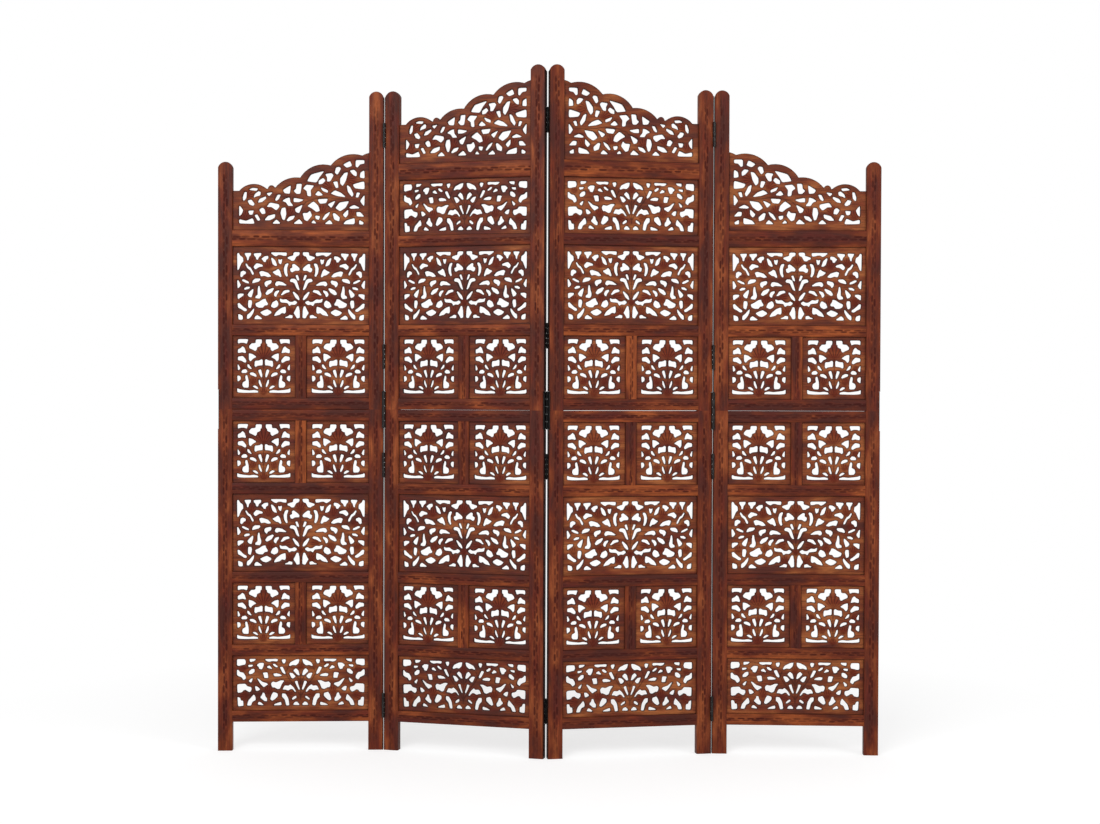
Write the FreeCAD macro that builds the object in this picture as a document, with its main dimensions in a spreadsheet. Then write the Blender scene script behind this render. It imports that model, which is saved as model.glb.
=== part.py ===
import FreeCAD, Part
import math
import os

import Sketcher

# Folding screen of four pierced wooden leaves, in millimetres, +Z up, its front towards -Y.
# Each leaf is a frame of grooved stiles and rails, in two halves one above the other, that holds pierced
# boards in its grooves. Butt hinges join the leaves: the middle seam folds backwards, the side seams fold
# forwards, and the screen stands in a shallow zig-zag.

V = FreeCAD.Vector
UP = V(0, 0, 1)
DEEP = V(0, 1, 0)
SAME_PLACE = 1e-6

document = FreeCAD.newDocument("folding_screen")


# Driving dimensions in millimetres, each written once

DRIVING_SIZES = (
    ("leaf_width", 400, "one leaf over its two stiles"),
    ("stile_width", 35, "stile seen from the front"),
    ("stile_depth", 22, "stile from front to back"),
    ("stile_bevel", 2.5, "eased long edges of a stile"),
    ("dome_rise", 13, "rounded top of a stile above its straight sides"),
    ("outer_stile_rise", 165, "stile tops at the outer edges, above the foot of the outer crest boards"),
    ("side_stile_rise", 177, "stile tops at the two side seams, above the foot of the inner crest boards"),
    ("centre_stile_rise", 226, "stile tops at the middle seam, above the foot of the inner crest boards"),
    ("foot_height", 70, "floor to the underside of the bottom rail"),
    ("rail_height", 27, "ordinary rail seen from the front"),
    ("wide_rail_height", 40, "rail under the crest board"),
    ("rail_depth", 20, "rail and muntin from front to back"),
    ("split_setback", 1, "the rails beside the split stand back from it"),
    ("muntin_width", 32, "upright between two square boards"),
    ("low_opening", 135, "height of the opening of a low board"),
    ("square_opening", 151, "height of the opening of a square board"),
    ("tall_opening", 190, "height of the opening of a tall board"),
    ("crest_height", 190, "crest board above the wide rail, at its high side"),
    ("groove_width", 9, "groove, and the board or stub tenon that fills it"),
    ("groove_depth", 7, "groove in stile, rail and muntin"),
    ("board_play", 0.5, "room behind a board's edge in its groove"),
    ("board_border", 10, "plain border of a board inside its opening"),
    ("seam_gap", 3, "between two stiles when the screen is flat"),
    ("axis_standoff", 4.3, "hinge axis in front of the stile's face"),
    ("hinge_length", 60, "ordinary butt hinge"),
    ("hinge_plate", 1.7, "plate of an ordinary hinge, and its recess"),
    ("hinge_reach", 16, "plate let into the stile's edge, from its face"),
    ("split_hinge_length", 90, "heavy hinge across the split"),
    ("split_hinge_plate", 2.5, "plate of the heavy hinge, and the notch for it"),
    ("split_notch_length", 95, "notch across the split in a stile's edge"),
    ("edge_plate_thickness", 1.6, "joining plate on the outer edges of the screen"),
    ("edge_plate_width", 16, "joining plate from front to back"),
    ("pin_radius", 1.5, "hinge pin, over its corners"),
    ("pin_play", 0.06, "running fit between a pin and its knuckles"),
    ("knuckle_play", 0.2, "between a knuckle and the plate beside it"),
    ("low_hinge_height", 110, "middle of the lowest hinges"),
    ("lower_hinge_drop", 135, "middle of the second hinges, below the split"),
    ("side_upper_hinge_rise", 129, "middle of the third hinges, above the split, side seams"),
    ("centre_upper_hinge_rise", 179, "middle of the third hinge, above the split, middle seam"),
    ("side_top_hinge_drop", 108, "middle of the top hinges, below the stile tops, side seams"),
    ("centre_top_hinge_drop", 129, "middle of the top hinge, below the stile tops, middle seam"),
    ("overrun", 5, "how far a cut runs past the wood"),
)

# How far the screen stands unfolded, in degrees

DRIVING_ANGLES = (
    ("leaf_2_turn_degrees", -13.5, "the second leaf away from the X axis"),
    ("seam_1_bend_degrees", 16.3, "between the first and second leaf"),
    ("seam_2_bend_degrees", 23.5, "between the second and third leaf"),
    ("seam_3_bend_degrees", 12, "between the third and fourth leaf"),
)

sheet = document.addObject("Spreadsheet::Sheet", "Sizes")
for row, (alias, value, meaning) in enumerate(DRIVING_SIZES + DRIVING_ANGLES, start=1):
    sheet.set(f"A{row}", alias)
    sheet.set(f"B{row}", str(value))
    sheet.set(f"C{row}", meaning)
    sheet.setAlias(f"B{row}", alias)
document.recompute()


class Size:
    """A length derived from the sheet: its formula and its value now."""

    def __init__(self, formula, value):
        self.formula = formula
        self.value = float(value)

    def joined(self, sign, other, value):
        other_formula = other.formula if isinstance(other, Size) else str(other)
        return Size(f"({self.formula} {sign} {other_formula})", value)

    def __add__(self, other):
        return self.joined("+", other, self.value + other.value)

    def __sub__(self, other):
        return self.joined("-", other, self.value - other.value)

    def __mul__(self, share):
        return self.joined("*", share, self.value * share)

    def __truediv__(self, share):
        return self.joined("/", share, self.value / share)

    def __neg__(self):
        return Size(f"(-1 * {self.formula})", -self.value)


sizes = {alias: Size(f"Sizes.{alias}", sheet.get(alias)) for alias, value, meaning in DRIVING_SIZES}
NOTHING = Size("0", 0)

leaf_width = sizes["leaf_width"]
stile_width = sizes["stile_width"]
stile_depth = sizes["stile_depth"]
rail_height = sizes["rail_height"]
rail_depth = sizes["rail_depth"]
groove_width = sizes["groove_width"]
groove_depth = sizes["groove_depth"]
crest_height = sizes["crest_height"]
seam_gap = sizes["seam_gap"]
axis_standoff = sizes["axis_standoff"]
overrun = sizes["overrun"]

opening_left = stile_width
opening_right = leaf_width - stile_width
opening_width = opening_right - opening_left
muntin_left = leaf_width / 2 - sizes["muntin_width"] / 2
muntin_right = leaf_width / 2 + sizes["muntin_width"] / 2
square_width = muntin_left - opening_left
board_grip = groove_depth - sizes["board_play"]


# Bodies and sketches, tied to the sheet

def new_body(label):
    body = document.addObject("PartDesign::Body", label)
    body.Label = label
    return body


def new_sketch(body, plane_role, name):
    """A sketch on one of the body's own origin planes."""
    plane = [item for item in body.Origin.OriginFeatures if item.Role == plane_role][0]
    sketch = body.newObject("Sketcher::SketchObject", name)
    sketch.AttachmentSupport = (plane, "")
    sketch.MapMode = "FlatFace"
    return sketch


def tie_point(sketch, kind, line, end, distance):
    """Holds one end of a line at a distance from the sketch's origin along one axis."""
    if distance.value == 0:
        axis = -2 if kind == "DistanceX" else -1
        sketch.addConstraint(Sketcher.Constraint("PointOnObject", line, end, axis))
        return
    index = sketch.addConstraint(Sketcher.Constraint(kind, -1, 1, line, end, distance.value))
    sketch.setExpression(f"Constraints[{index}]", distance.formula)


def draw_rectangle(sketch, left, bottom, right, top):
    corners = [V(left.value, bottom.value, 0), V(right.value, bottom.value, 0),
               V(right.value, top.value, 0), V(left.value, top.value, 0)]
    first = sketch.GeometryCount
    for index in range(4):
        sketch.addGeometry(Part.LineSegment(corners[index], corners[(index + 1) % 4]))
    for index in range(4):
        next_line = first + (index + 1) % 4
        sketch.addConstraint(Sketcher.Constraint("Coincident", first + index, 2, next_line, 1))
    for index, kind in enumerate(("Horizontal", "Vertical", "Horizontal", "Vertical")):
        sketch.addConstraint(Sketcher.Constraint(kind, first + index))
    tie_point(sketch, "DistanceX", first, 1, left)
    tie_point(sketch, "DistanceY", first, 1, bottom)
    tie_point(sketch, "DistanceX", first + 2, 1, right)
    tie_point(sketch, "DistanceY", first + 2, 1, top)


PAD = "PartDesign::Pad"
CUT = "PartDesign::Pocket"
FRONT_PLANE = "XZ_Plane"
SIDE_PLANE = "YZ_Plane"


def through_middle(body, operation, sketch, name, depth):
    """Pads or cuts a sketch's outline, half of the depth to either side of the sketch's plane."""
    feature = body.newObject(operation, name)
    feature.Profile = sketch
    feature.SideType = "Symmetric"
    feature.setExpression("Length", depth.formula)
    return feature


def step(body, operation, name, plane_role, rectangles, depth):
    """One pad or cut of a set of rectangles."""
    sketch = new_sketch(body, plane_role, f"{name}_outline")
    for rectangle in rectangles:
        draw_rectangle(sketch, *rectangle)
    return through_middle(body, operation, sketch, name, depth)


# Heights of the rails and of the openings between them, from the floor up

class Bay:
    """One opening of a leaf and the kind of board in it."""

    def __init__(self, kind, bottom, height):
        self.kind = kind
        self.bottom = bottom
        self.top = bottom + height


class Half:
    """Half of a leaf: the lower and upper edge of each rail, and the bays between the rails."""

    def __init__(self, first_edge, bay_kinds):
        self.rails = [(first_edge, first_edge + rail_height)]
        self.bays = []
        for kind in bay_kinds:
            self.bays.append(Bay(kind, self.rails[-1][1], sizes[f"{kind}_opening"]))
            self.rails.append((self.bays[-1].top, self.bays[-1].top + rail_height))

    def widen_top_rail(self):
        lower_edge = self.rails[-1][0]
        self.rails[-1] = (lower_edge, lower_edge + sizes["wide_rail_height"])


lower_half = Half(sizes["foot_height"], ("low", "square", "tall", "square"))
split_height = lower_half.rails[-1][1] + sizes["split_setback"]
upper_start = split_height + sizes["split_setback"]
upper_halves = {leaf: Half(upper_start, ("square", "tall")) for leaf in (1, 4)}
upper_halves.update({leaf: Half(upper_start, ("square", "tall", "low")) for leaf in (2, 3)})
for half in upper_halves.values():
    half.widen_top_rail()


# Crest outline, as shares of the opening's width from the low side and of the crest's height: a level
# shoulder, then one arc for each lobe and for the little ball

CREST_SHOULDER_SHARES = (0.046, 0.48)
CREST_ARC_SHARES = (
    ((0.046, 0.48), (0.155, 0.56), (0.247, 0.51)),
    ((0.26, 0.51), (0.283, 0.55), (0.306, 0.515)),
    ((0.306, 0.515), (0.37, 0.605), (0.493, 0.65)),
    ((0.493, 0.65), (0.57, 0.785), (0.717, 0.815)),
    ((0.717, 0.815), (0.81, 0.935), (1.0, 1.0)),
)

# Piercings of the boards, as corners chosen by eye. Across runs from the board's middle line to the side of
# the pierced field, up runs from its lower edge to its upper edge, and each piercing has a mirror image

SQUARE_PIERCING_SHARES = (
    ((0.10, 1.00), (0.96, 1.00), (0.56, 0.80), (0.26, 0.70)),
    ((0.09, 0.20), (0.09, 0.62), (0.98, 0.80)),
    ((0.24, 0.02), (0.98, 0.02), (0.98, 0.56)),
)
TALL_PIERCING_SHARES = (
    ((0.05, 0.02), (0.28, 0.02), (0.08, 0.30)),
    ((0.38, 0.02), (0.64, 0.02), (0.48, 0.26)),
    ((0.74, 0.02), (1.00, 0.02), (1.00, 0.34)),
    ((0.14, 0.36), (0.34, 0.18), (0.40, 0.48)),
    ((0.52, 0.36), (0.88, 0.32), (0.72, 0.56)),
    ((0.05, 0.48), (0.24, 0.60), (0.08, 0.92)),
    ((0.20, 1.00), (0.58, 0.98), (0.36, 0.66)),
    ((0.58, 0.72), (1.00, 0.60), (0.94, 0.96)),
)
LOW_PIERCING_SHARES = (
    ((0.05, 0.04), (0.28, 0.04), (0.06, 0.60)),
    ((0.36, 0.06), (0.66, 0.04), (0.46, 0.46)),
    ((0.74, 0.04), (1.00, 0.04), (0.98, 0.54)),
    ((0.24, 0.46), (0.36, 0.96), (0.08, 0.96)),
    ((0.54, 0.98), (0.60, 0.56), (0.96, 0.96)),
)
# Across runs from the crest's low side to its high side, up from the wide rail to the high end
CREST_PIERCING_SHARES = (
    ((0.04, 0.07), (0.22, 0.07), (0.06, 0.36)),
    ((0.18, 0.40), (0.30, 0.42), (0.28, 0.12)),
    ((0.35, 0.38), (0.50, 0.54), (0.44, 0.08)),
    ((0.54, 0.34), (0.52, 0.08), (0.72, 0.08)),
    ((0.56, 0.62), (0.72, 0.72), (0.66, 0.38)),
    ((0.80, 0.08), (0.97, 0.08), (0.97, 0.34)),
    ((0.78, 0.76), (0.94, 0.90), (0.90, 0.50)),
)


# Stiles

def bevel_long_edges(body, post):
    """Eases the four upright edges of a stile."""
    document.recompute()
    names = [f"Edge{index}" for index, edge in enumerate(post.Shape.Edges, start=1)
             if edge.BoundBox.YLength < SAME_PLACE and edge.BoundBox.ZLength > SAME_PLACE]
    bevel = body.newObject("PartDesign::Chamfer", "eased_edges")
    bevel.Base = (post, names)
    bevel.setExpression("Size", sizes["stile_bevel"].formula)


def draw_dome_waste(sketch, top):
    """Front view of what is cut from a square post to leave one arc across its top."""
    rise = sizes["dome_rise"]
    shoulder = top - rise
    half_width = stile_width / 2
    radius = Size(f"(({half_width.formula} ^ 2 + {rise.formula} ^ 2) / (2 * {rise.formula}))",
                  (half_width.value ** 2 + rise.value ** 2) / (2 * rise.value))
    centre = V(half_width.value, (top - radius).value, 0)
    start_angle = math.atan2(shoulder.value - centre.y, half_width.value)
    corners = ((NOTHING, shoulder), (-overrun, shoulder), (-overrun, top + overrun),
               (stile_width + overrun, top + overrun), (stile_width + overrun, shoulder),
               (stile_width, shoulder))
    points = [V(across.value, up.value, 0) for across, up in corners]
    for start, end in zip(points, points[1:]):
        sketch.addGeometry(Part.LineSegment(start, end))
    circle = Part.Circle(centre, UP, radius.value)
    arc = sketch.addGeometry(Part.ArcOfCircle(circle, start_angle, math.pi - start_angle))
    for line in range(arc - 1):
        sketch.addConstraint(Sketcher.Constraint("Coincident", line, 2, line + 1, 1))
    sketch.addConstraint(Sketcher.Constraint("Coincident", arc - 1, 2, arc, 1))
    sketch.addConstraint(Sketcher.Constraint("Coincident", arc, 2, 0, 1))
    for line, (across, up) in enumerate(corners[:-1]):
        tie_point(sketch, "DistanceX", line, 1, across)
        tie_point(sketch, "DistanceY", line, 1, up)
    tie_point(sketch, "DistanceX", arc, 1, corners[-1][0])
    tie_point(sketch, "DistanceY", arc, 1, corners[-1][1])
    index = sketch.addConstraint(Sketcher.Constraint("Radius", arc, radius.value))
    sketch.setExpression(f"Constraints[{index}]", radius.formula)


def stile(label, bottom, top, domed, groove_top, recess_heights, barrel_side):
    """One length of stile, its hinged edge at X = 0 and its groove in the opposite edge.

    barrel_side is -1 or +1, the side in Y on which the hinge barrels stand.
    """
    body = new_body(label)
    post = step(body, PAD, "post", FRONT_PLANE, [(NOTHING, bottom, stile_width, top)], stile_depth)
    bevel_long_edges(body, post)
    if domed:
        waste = new_sketch(body, FRONT_PLANE, "dome_outline")
        draw_dome_waste(waste, top)
        through_middle(body, CUT, waste, "dome", stile_depth + overrun)

    groove_bottom = bottom - overrun if domed else sizes["foot_height"]
    step(body, CUT, "groove", FRONT_PLANE,
         [(stile_width - groove_depth, groove_bottom, stile_width + overrun, groove_top)], groove_width)

    notch_reach = sizes["split_notch_length"] / 2
    notch_ends = (bottom - overrun, bottom + notch_reach) if domed else (top - notch_reach, top + overrun)
    step(body, CUT, "split_notch", FRONT_PLANE,
         [(-overrun, notch_ends[0], sizes["split_hinge_plate"], notch_ends[1])], stile_depth + overrun)

    if recess_heights:
        near = -(stile_depth / 2 + overrun)
        far = sizes["hinge_reach"] - stile_depth / 2
        if barrel_side > 0:
            near, far = -far, -near
        half_length = sizes["hinge_length"] / 2
        step(body, CUT, "hinge_recesses", SIDE_PLANE,
             [(near, height - half_length, far, height + half_length) for height in recess_heights],
             sizes["hinge_plate"] * 2)
    return body


# Rails and muntins

def rails_body(label, half, crest_on_top):
    """The rails of one half: full depth between the stiles, stub tenons at the ends, grooves for boards."""
    tenon_left = opening_left - groove_depth
    tenon_right = opening_right + groove_depth
    grooves = []
    for index, (lower, upper) in enumerate(half.rails):
        if index < len(half.bays) or crest_on_top:
            grooves.append((tenon_left - overrun, upper - groove_depth, tenon_right + overrun, upper + overrun))
        if index > 0:
            grooves.append((tenon_left - overrun, lower - overrun, tenon_right + overrun, lower + groove_depth))
    body = new_body(label)
    step(body, PAD, "rails", FRONT_PLANE,
         [(opening_left, lower, opening_right, upper) for lower, upper in half.rails], rail_depth)
    step(body, PAD, "stub_tenons", FRONT_PLANE,
         [(tenon_left, lower, tenon_right, upper) for lower, upper in half.rails], groove_width)
    step(body, CUT, "board_grooves", FRONT_PLANE, grooves, groove_width)
    return body


def muntins_body(label, bays):
    """The uprights between square boards: stub tenons into the rails' grooves, a groove down each edge."""
    grooves = []
    for bay in bays:
        bottom, top = bay.bottom - groove_depth - overrun, bay.top + groove_depth + overrun
        grooves.append((muntin_left - overrun, bottom, muntin_left + groove_depth, top))
        grooves.append((muntin_right - groove_depth, bottom, muntin_right + overrun, top))
    body = new_body(label)
    step(body, PAD, "muntins", FRONT_PLANE,
         [(muntin_left, bay.bottom, muntin_right, bay.top) for bay in bays], rail_depth)
    step(body, PAD, "stub_tenons", FRONT_PLANE,
         [(muntin_left, bay.bottom - groove_depth, muntin_right, bay.top + groove_depth) for bay in bays],
         groove_width)
    step(body, CUT, "board_grooves", FRONT_PLANE, grooves, groove_width)
    return body


# Pierced boards: an outline with its piercings in the XZ plane, given the groove's thickness

def closed_wire(points):
    return Part.makePolygon(list(points) + [points[0]])


def board(label, outer_wire, piercing_wires):
    """A board centred on the leaf's middle plane, its opening's lower left corner at the origin."""
    outline = document.addObject("Part::Feature", f"{label}_outline")
    outline.Shape = Part.makeFace([outer_wire] + piercing_wires, "Part::FaceMakerBullseye")
    solid = document.addObject("Part::Extrusion", label)
    solid.Base = outline
    solid.DirMode = "Custom"
    solid.Dir = DEEP
    solid.Solid = True
    solid.Symmetric = True
    solid.setExpression("LengthFwd", groove_width.formula)
    return solid


def rectangular_board(label, width, height, piercing_shares):
    """A board with piercings on both sides of its middle line, each one mirrored."""
    grip = board_grip.value
    border = sizes["board_border"].value
    middle = width.value / 2
    half_field = middle - border
    field_height = height.value - 2 * border
    outer = closed_wire([V(-grip, 0, -grip), V(width.value + grip, 0, -grip),
                         V(width.value + grip, 0, height.value + grip), V(-grip, 0, height.value + grip)])
    piercings = []
    for corners in piercing_shares:
        for side in (-1, 1):
            piercings.append(closed_wire([V(middle + side * across * half_field, 0, border + up * field_height)
                                          for across, up in corners]))
    return board(label, outer, piercings)


def crest_board(label, low_side_left):
    """The crest with its scalloped top, climbing from the low side to the high side."""
    width = opening_width.value
    grip = board_grip.value

    def place(shares):
        across, up = shares
        return V(across * width if low_side_left else (1 - across) * width, 0, up * crest_height.value)

    outward = V(-grip if low_side_left else grip, 0, 0)
    below = V(0, 0, -grip)
    low_end = V(place((0, 0)).x, 0, place(CREST_SHOULDER_SHARES).z)
    outline = [place((0, 0)) + outward + below, low_end + outward, place(CREST_SHOULDER_SHARES)]
    edges = [Part.LineSegment(start, end).toShape() for start, end in zip(outline, outline[1:])]
    reached = outline[-1]
    for start, middle, end in CREST_ARC_SHARES:
        if not place(start).isEqual(reached, SAME_PLACE):
            edges.append(Part.LineSegment(reached, place(start)).toShape())
        edges.append(Part.Arc(place(start), place(middle), place(end)).toShape())
        reached = place(end)
    closing = [reached, reached - outward, place((1, 0)) - outward + below, outline[0]]
    edges += [Part.LineSegment(start, end).toShape() for start, end in zip(closing, closing[1:])]
    piercings = [closed_wire([place(corner) for corner in corners]) for corners in CREST_PIERCING_SHARES]
    return board(label, Part.Wire(edges), piercings)


# Hinges: two plates with knuckles about the barrel's axis, level with the hinge's middle. The outer knuckles
# hold the pin fast, and the middle knuckle turns on it

BARREL_SIDES = 8
PIN_SIDES = 6


def corner_radius(flat_radius, sides):
    """Distance from the axis to the corners of a many-sided bar, from the distance to its flats."""
    return Size(f"({flat_radius.formula} / cos({180 / sides}))",
                flat_radius.value / math.cos(math.pi / sides))


def bar(label, sides, radius_over_corners, length):
    """An upright bar on the barrel's axis, with flats towards the seam."""
    prism = document.addObject("Part::Prism", label)
    prism.Polygon = sides
    prism.Placement = FreeCAD.Placement(V(0, 0, 0), FreeCAD.Rotation(UP, 180 / sides))
    prism.setExpression("Circumradius", radius_over_corners.formula)
    prism.setExpression("Height", length.formula)
    prism.setExpression("Placement.Base.z", (-length / 2).formula)
    return prism


def block(label, low_corner, extents):
    """A box from its lowest corner and its extents along X, Y and Z."""
    box = document.addObject("Part::Box", label)
    for axis, position in zip("xyz", low_corner):
        box.setExpression(f"Placement.Base.{axis}", position.formula)
    for name, extent in zip(("Length", "Width", "Height"), extents):
        box.setExpression(name, extent.formula)
    return box


def united(label, shapes):
    """Several solids as one, without the seams between their faces."""
    fusion = document.addObject("Part::MultiFuse", label)
    fusion.Shapes = shapes
    fusion.Refine = True
    return fusion


def less(label, solid, cutter):
    remainder = document.addObject("Part::Cut", label)
    remainder.Base = solid
    remainder.Tool = cutter
    return remainder


class Hinge:
    """Both plates of one size of hinge, each drawn on the -X side of its barrel with its stile towards +Y."""

    def __init__(self, label, length, thickness):
        self.label = label
        self.length = length
        self.thickness = thickness
        self.flat_radius = seam_gap / 2 + thickness
        self.corner_radius = corner_radius(self.flat_radius, BARREL_SIDES)
        self.clear_radius = self.corner_radius + sizes["knuckle_play"]
        play = sizes["knuckle_play"]
        middle_knuckle = length / 3
        self.pin_plate = united(f"{label}_pin_plate", [
            less(f"{label}_outer_knuckles", self.plate_and_barrel("pin_plate"),
                 self.slot("middle_slot", -middle_knuckle / 2 - play, middle_knuckle / 2 + play)),
            bar(f"{label}_pin", PIN_SIDES, sizes["pin_radius"], length)])
        bore_radius = corner_radius(sizes["pin_radius"] + sizes["pin_play"], PIN_SIDES)
        self.bored_plate = less(f"{label}_bored_plate", self.plate_and_barrel("bored_plate"), united(
            f"{label}_end_slots_and_bore", [
                self.slot("low_slot", -length / 2 - overrun, play - middle_knuckle / 2),
                self.slot("high_slot", middle_knuckle / 2 - play, length / 2 + overrun),
                bar(f"{label}_bore", PIN_SIDES, bore_radius, length)]))

    def plate_and_barrel(self, name):
        plate = block(f"{self.label}_{name}_leaf", (-self.flat_radius, NOTHING, -self.length / 2),
                      (self.thickness, axis_standoff + sizes["hinge_reach"], self.length))
        barrel = bar(f"{self.label}_{name}_barrel", BARREL_SIDES, self.corner_radius, self.length)
        return united(f"{self.label}_{name}_blank", [plate, barrel])

    def slot(self, name, bottom, top):
        """Room for the other plate's knuckles, from one height to another."""
        reach = self.clear_radius + overrun
        return block(f"{self.label}_{name}", (-reach, -reach, bottom),
                     (reach * 2, self.clear_radius + reach, top - bottom))


# Places of the leaves: each seam's axis is shared by the two leaves beside it

FRONT = -1
BACK = 1
SEAM_SIDES = {1: FRONT, 2: BACK, 3: FRONT}


def seam_axis_in_leaf(at_right_edge, barrel_side):
    half_gap = seam_gap.value / 2
    across = leaf_width.value + half_gap if at_right_edge else -half_gap
    return V(across, barrel_side * (stile_depth.value / 2 + axis_standoff.value), 0)


def turned(degrees):
    return FreeCAD.Rotation(UP, degrees)


def leaf_beside(neighbour, new_turn, new_is_on_right, barrel_side):
    """Place of a leaf that shares a seam's axis with a leaf whose place is known."""
    axis = neighbour.multVec(seam_axis_in_leaf(new_is_on_right, barrel_side))
    rotation = turned(new_turn)
    own_axis = seam_axis_in_leaf(not new_is_on_right, barrel_side)
    return FreeCAD.Placement(axis - rotation.multVec(own_axis), rotation)


turn_2 = sheet.get("leaf_2_turn_degrees")
turn_1 = turn_2 + sheet.get("seam_1_bend_degrees")
turn_3 = turn_2 + sheet.get("seam_2_bend_degrees")
turn_4 = turn_3 - sheet.get("seam_3_bend_degrees")
leaf_places = {2: FreeCAD.Placement(V(0, 0, 0), turned(turn_2))}
leaf_places[1] = leaf_beside(leaf_places[2], turn_1, False, SEAM_SIDES[1])
leaf_places[3] = leaf_beside(leaf_places[2], turn_3, True, SEAM_SIDES[2])
leaf_places[4] = leaf_beside(leaf_places[3], turn_4, True, SEAM_SIDES[3])


# The pieces: each one is kept with the leaf that carries it and its place in that leaf

class Piece:
    """A named piece of the finished screen."""

    def __init__(self, feature, leaf, place_in_leaf=FreeCAD.Placement()):
        self.feature = feature
        self.leaf = leaf
        self.place_in_leaf = place_in_leaf


pieces = []


def linked_copies(label, copies):
    """One piece made of equal parts: each copy is a pattern, a rotation, and distances along X, Y and Z."""
    links = []
    for index, (pattern, rotation, distances) in enumerate(copies):
        link = document.addObject("App::Link", f"{label}_{index + 1}")
        link.LinkedObject = pattern
        link.LinkTransform = True
        link.Placement = FreeCAD.Placement(V(0, 0, 0), rotation)
        for axis, distance in zip("xyz", distances):
            link.setExpression(f"Placement.Base.{axis}", distance.formula)
        links.append(link)
    group = document.addObject("Part::Compound", label)
    group.Label = label
    group.Links = links
    return group


def crest_foot_of(leaf):
    """Height of a leaf's crest board above the floor: the top of its wide rail."""
    return upper_halves[leaf].rails[-1][1]


outer_top = crest_foot_of(1) + sizes["outer_stile_rise"]
side_top = crest_foot_of(2) + sizes["side_stile_rise"]
centre_top = crest_foot_of(2) + sizes["centre_stile_rise"]
STILE_TOPS = {0: outer_top, 1: side_top, 2: centre_top, 3: side_top, 4: outer_top}

low_hinge_heights = [sizes["low_hinge_height"], split_height - sizes["lower_hinge_drop"]]
side_hinge_heights = low_hinge_heights + [split_height + sizes["side_upper_hinge_rise"],
                                          side_top - sizes["side_top_hinge_drop"]]
centre_hinge_heights = low_hinge_heights + [split_height + sizes["centre_upper_hinge_rise"],
                                            centre_top - sizes["centre_top_hinge_drop"]]
SEAM_HINGE_HEIGHTS = {1: side_hinge_heights, 2: centre_hinge_heights, 3: side_hinge_heights}


def build_stiles(leaf):
    """Both stiles of a leaf, each in two lengths that butt at the split."""
    crest_foot = crest_foot_of(leaf)
    low_end = crest_foot + crest_height * CREST_SHOULDER_SHARES[1]
    high_end = crest_foot + crest_height
    high_side = "right" if leaf in (1, 2) else "left"
    for side, seam in (("left", leaf - 1), ("right", leaf)):
        barrel_side = SEAM_SIDES.get(seam, FRONT)
        place = FreeCAD.Placement()
        if side == "right":
            barrel_side = -barrel_side
            place = FreeCAD.Placement(V(leaf_width.value, 0, 0), turned(180))
        heights = SEAM_HINGE_HEIGHTS.get(seam, [])
        below = [height for height in heights if height.value < split_height.value]
        above = [height for height in heights if height.value > split_height.value]
        lower = stile(f"leaf_{leaf}_{side}_stile_lower", NOTHING, split_height, False,
                      split_height + overrun, below, barrel_side)
        upper = stile(f"leaf_{leaf}_{side}_stile_upper", split_height, STILE_TOPS[seam], True,
                      high_end if side == high_side else low_end, above, barrel_side)
        pieces.append(Piece(lower, leaf, place))
        pieces.append(Piece(upper, leaf, place))


def build_frame(leaf):
    """The rails and muntins of a leaf."""
    upper_half = upper_halves[leaf]
    square_bays = [bay for bay in lower_half.bays + upper_half.bays if bay.kind == "square"]
    pieces.append(Piece(rails_body(f"leaf_{leaf}_rails_lower", lower_half, False), leaf))
    pieces.append(Piece(rails_body(f"leaf_{leaf}_rails_upper", upper_half, True), leaf))
    pieces.append(Piece(muntins_body(f"leaf_{leaf}_muntins", square_bays), leaf))


def build_boards(leaf, patterns):
    """The boards of a leaf in their openings."""
    upright = FreeCAD.Rotation()
    upper_half = upper_halves[leaf]
    for kind in ("square", "tall", "low"):
        columns = (opening_left, muntin_right) if kind == "square" else (opening_left,)
        copies = [(patterns[kind], upright, (column, NOTHING, bay.bottom))
                  for bay in lower_half.bays + upper_half.bays if bay.kind == kind for column in columns]
        pieces.append(Piece(linked_copies(f"leaf_{leaf}_{kind}_boards", copies), leaf))
    crest = patterns["rising_crest" if leaf in (1, 2) else "falling_crest"]
    place = (opening_left, NOTHING, crest_foot_of(leaf))
    pieces.append(Piece(linked_copies(f"leaf_{leaf}_crest_board", [(crest, upright, place)]), leaf))


def build_seam(seam, ordinary, heavy):
    """The hinges of one seam: left plates with their pins on the left leaf, right plates on the right leaf."""
    barrel_side = SEAM_SIDES[seam]
    half_gap = seam_gap / 2
    from_middle = stile_depth / 2 + axis_standoff
    depth = from_middle if barrel_side == BACK else -from_middle
    facing = FreeCAD.Rotation() if barrel_side == FRONT else FreeCAD.Rotation(V(1, 0, 0), 180)
    mirrored = facing * FreeCAD.Rotation(DEEP, 180)
    rows = [(ordinary, height) for height in SEAM_HINGE_HEIGHTS[seam]] + [(heavy, split_height)]
    left_plates = [(hinge.pin_plate, facing, (leaf_width + half_gap, depth, height)) for hinge, height in rows]
    right_plates = [(hinge.bored_plate, mirrored, (-half_gap, depth, height)) for hinge, height in rows]
    pieces.append(Piece(linked_copies(f"seam_{seam}_left_plates", left_plates), seam))
    pieces.append(Piece(linked_copies(f"seam_{seam}_right_plates", right_plates), seam + 1))


def build_edge_plate(label, leaf, at_right_edge):
    """The flat plate that joins the two lengths of an outer stile, on the floor of its notch."""
    length = sizes["split_hinge_length"]
    thickness = sizes["edge_plate_thickness"]
    inset = sizes["split_hinge_plate"] - thickness
    left = leaf_width - inset - thickness if at_right_edge else inset
    plate = block(f"{label}_pattern", (NOTHING, -sizes["edge_plate_width"] / 2, -length / 2),
                  (thickness, sizes["edge_plate_width"], length))
    upright = FreeCAD.Rotation()
    pieces.append(Piece(linked_copies(label, [(plate, upright, (left, NOTHING, split_height))]), leaf))


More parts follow.
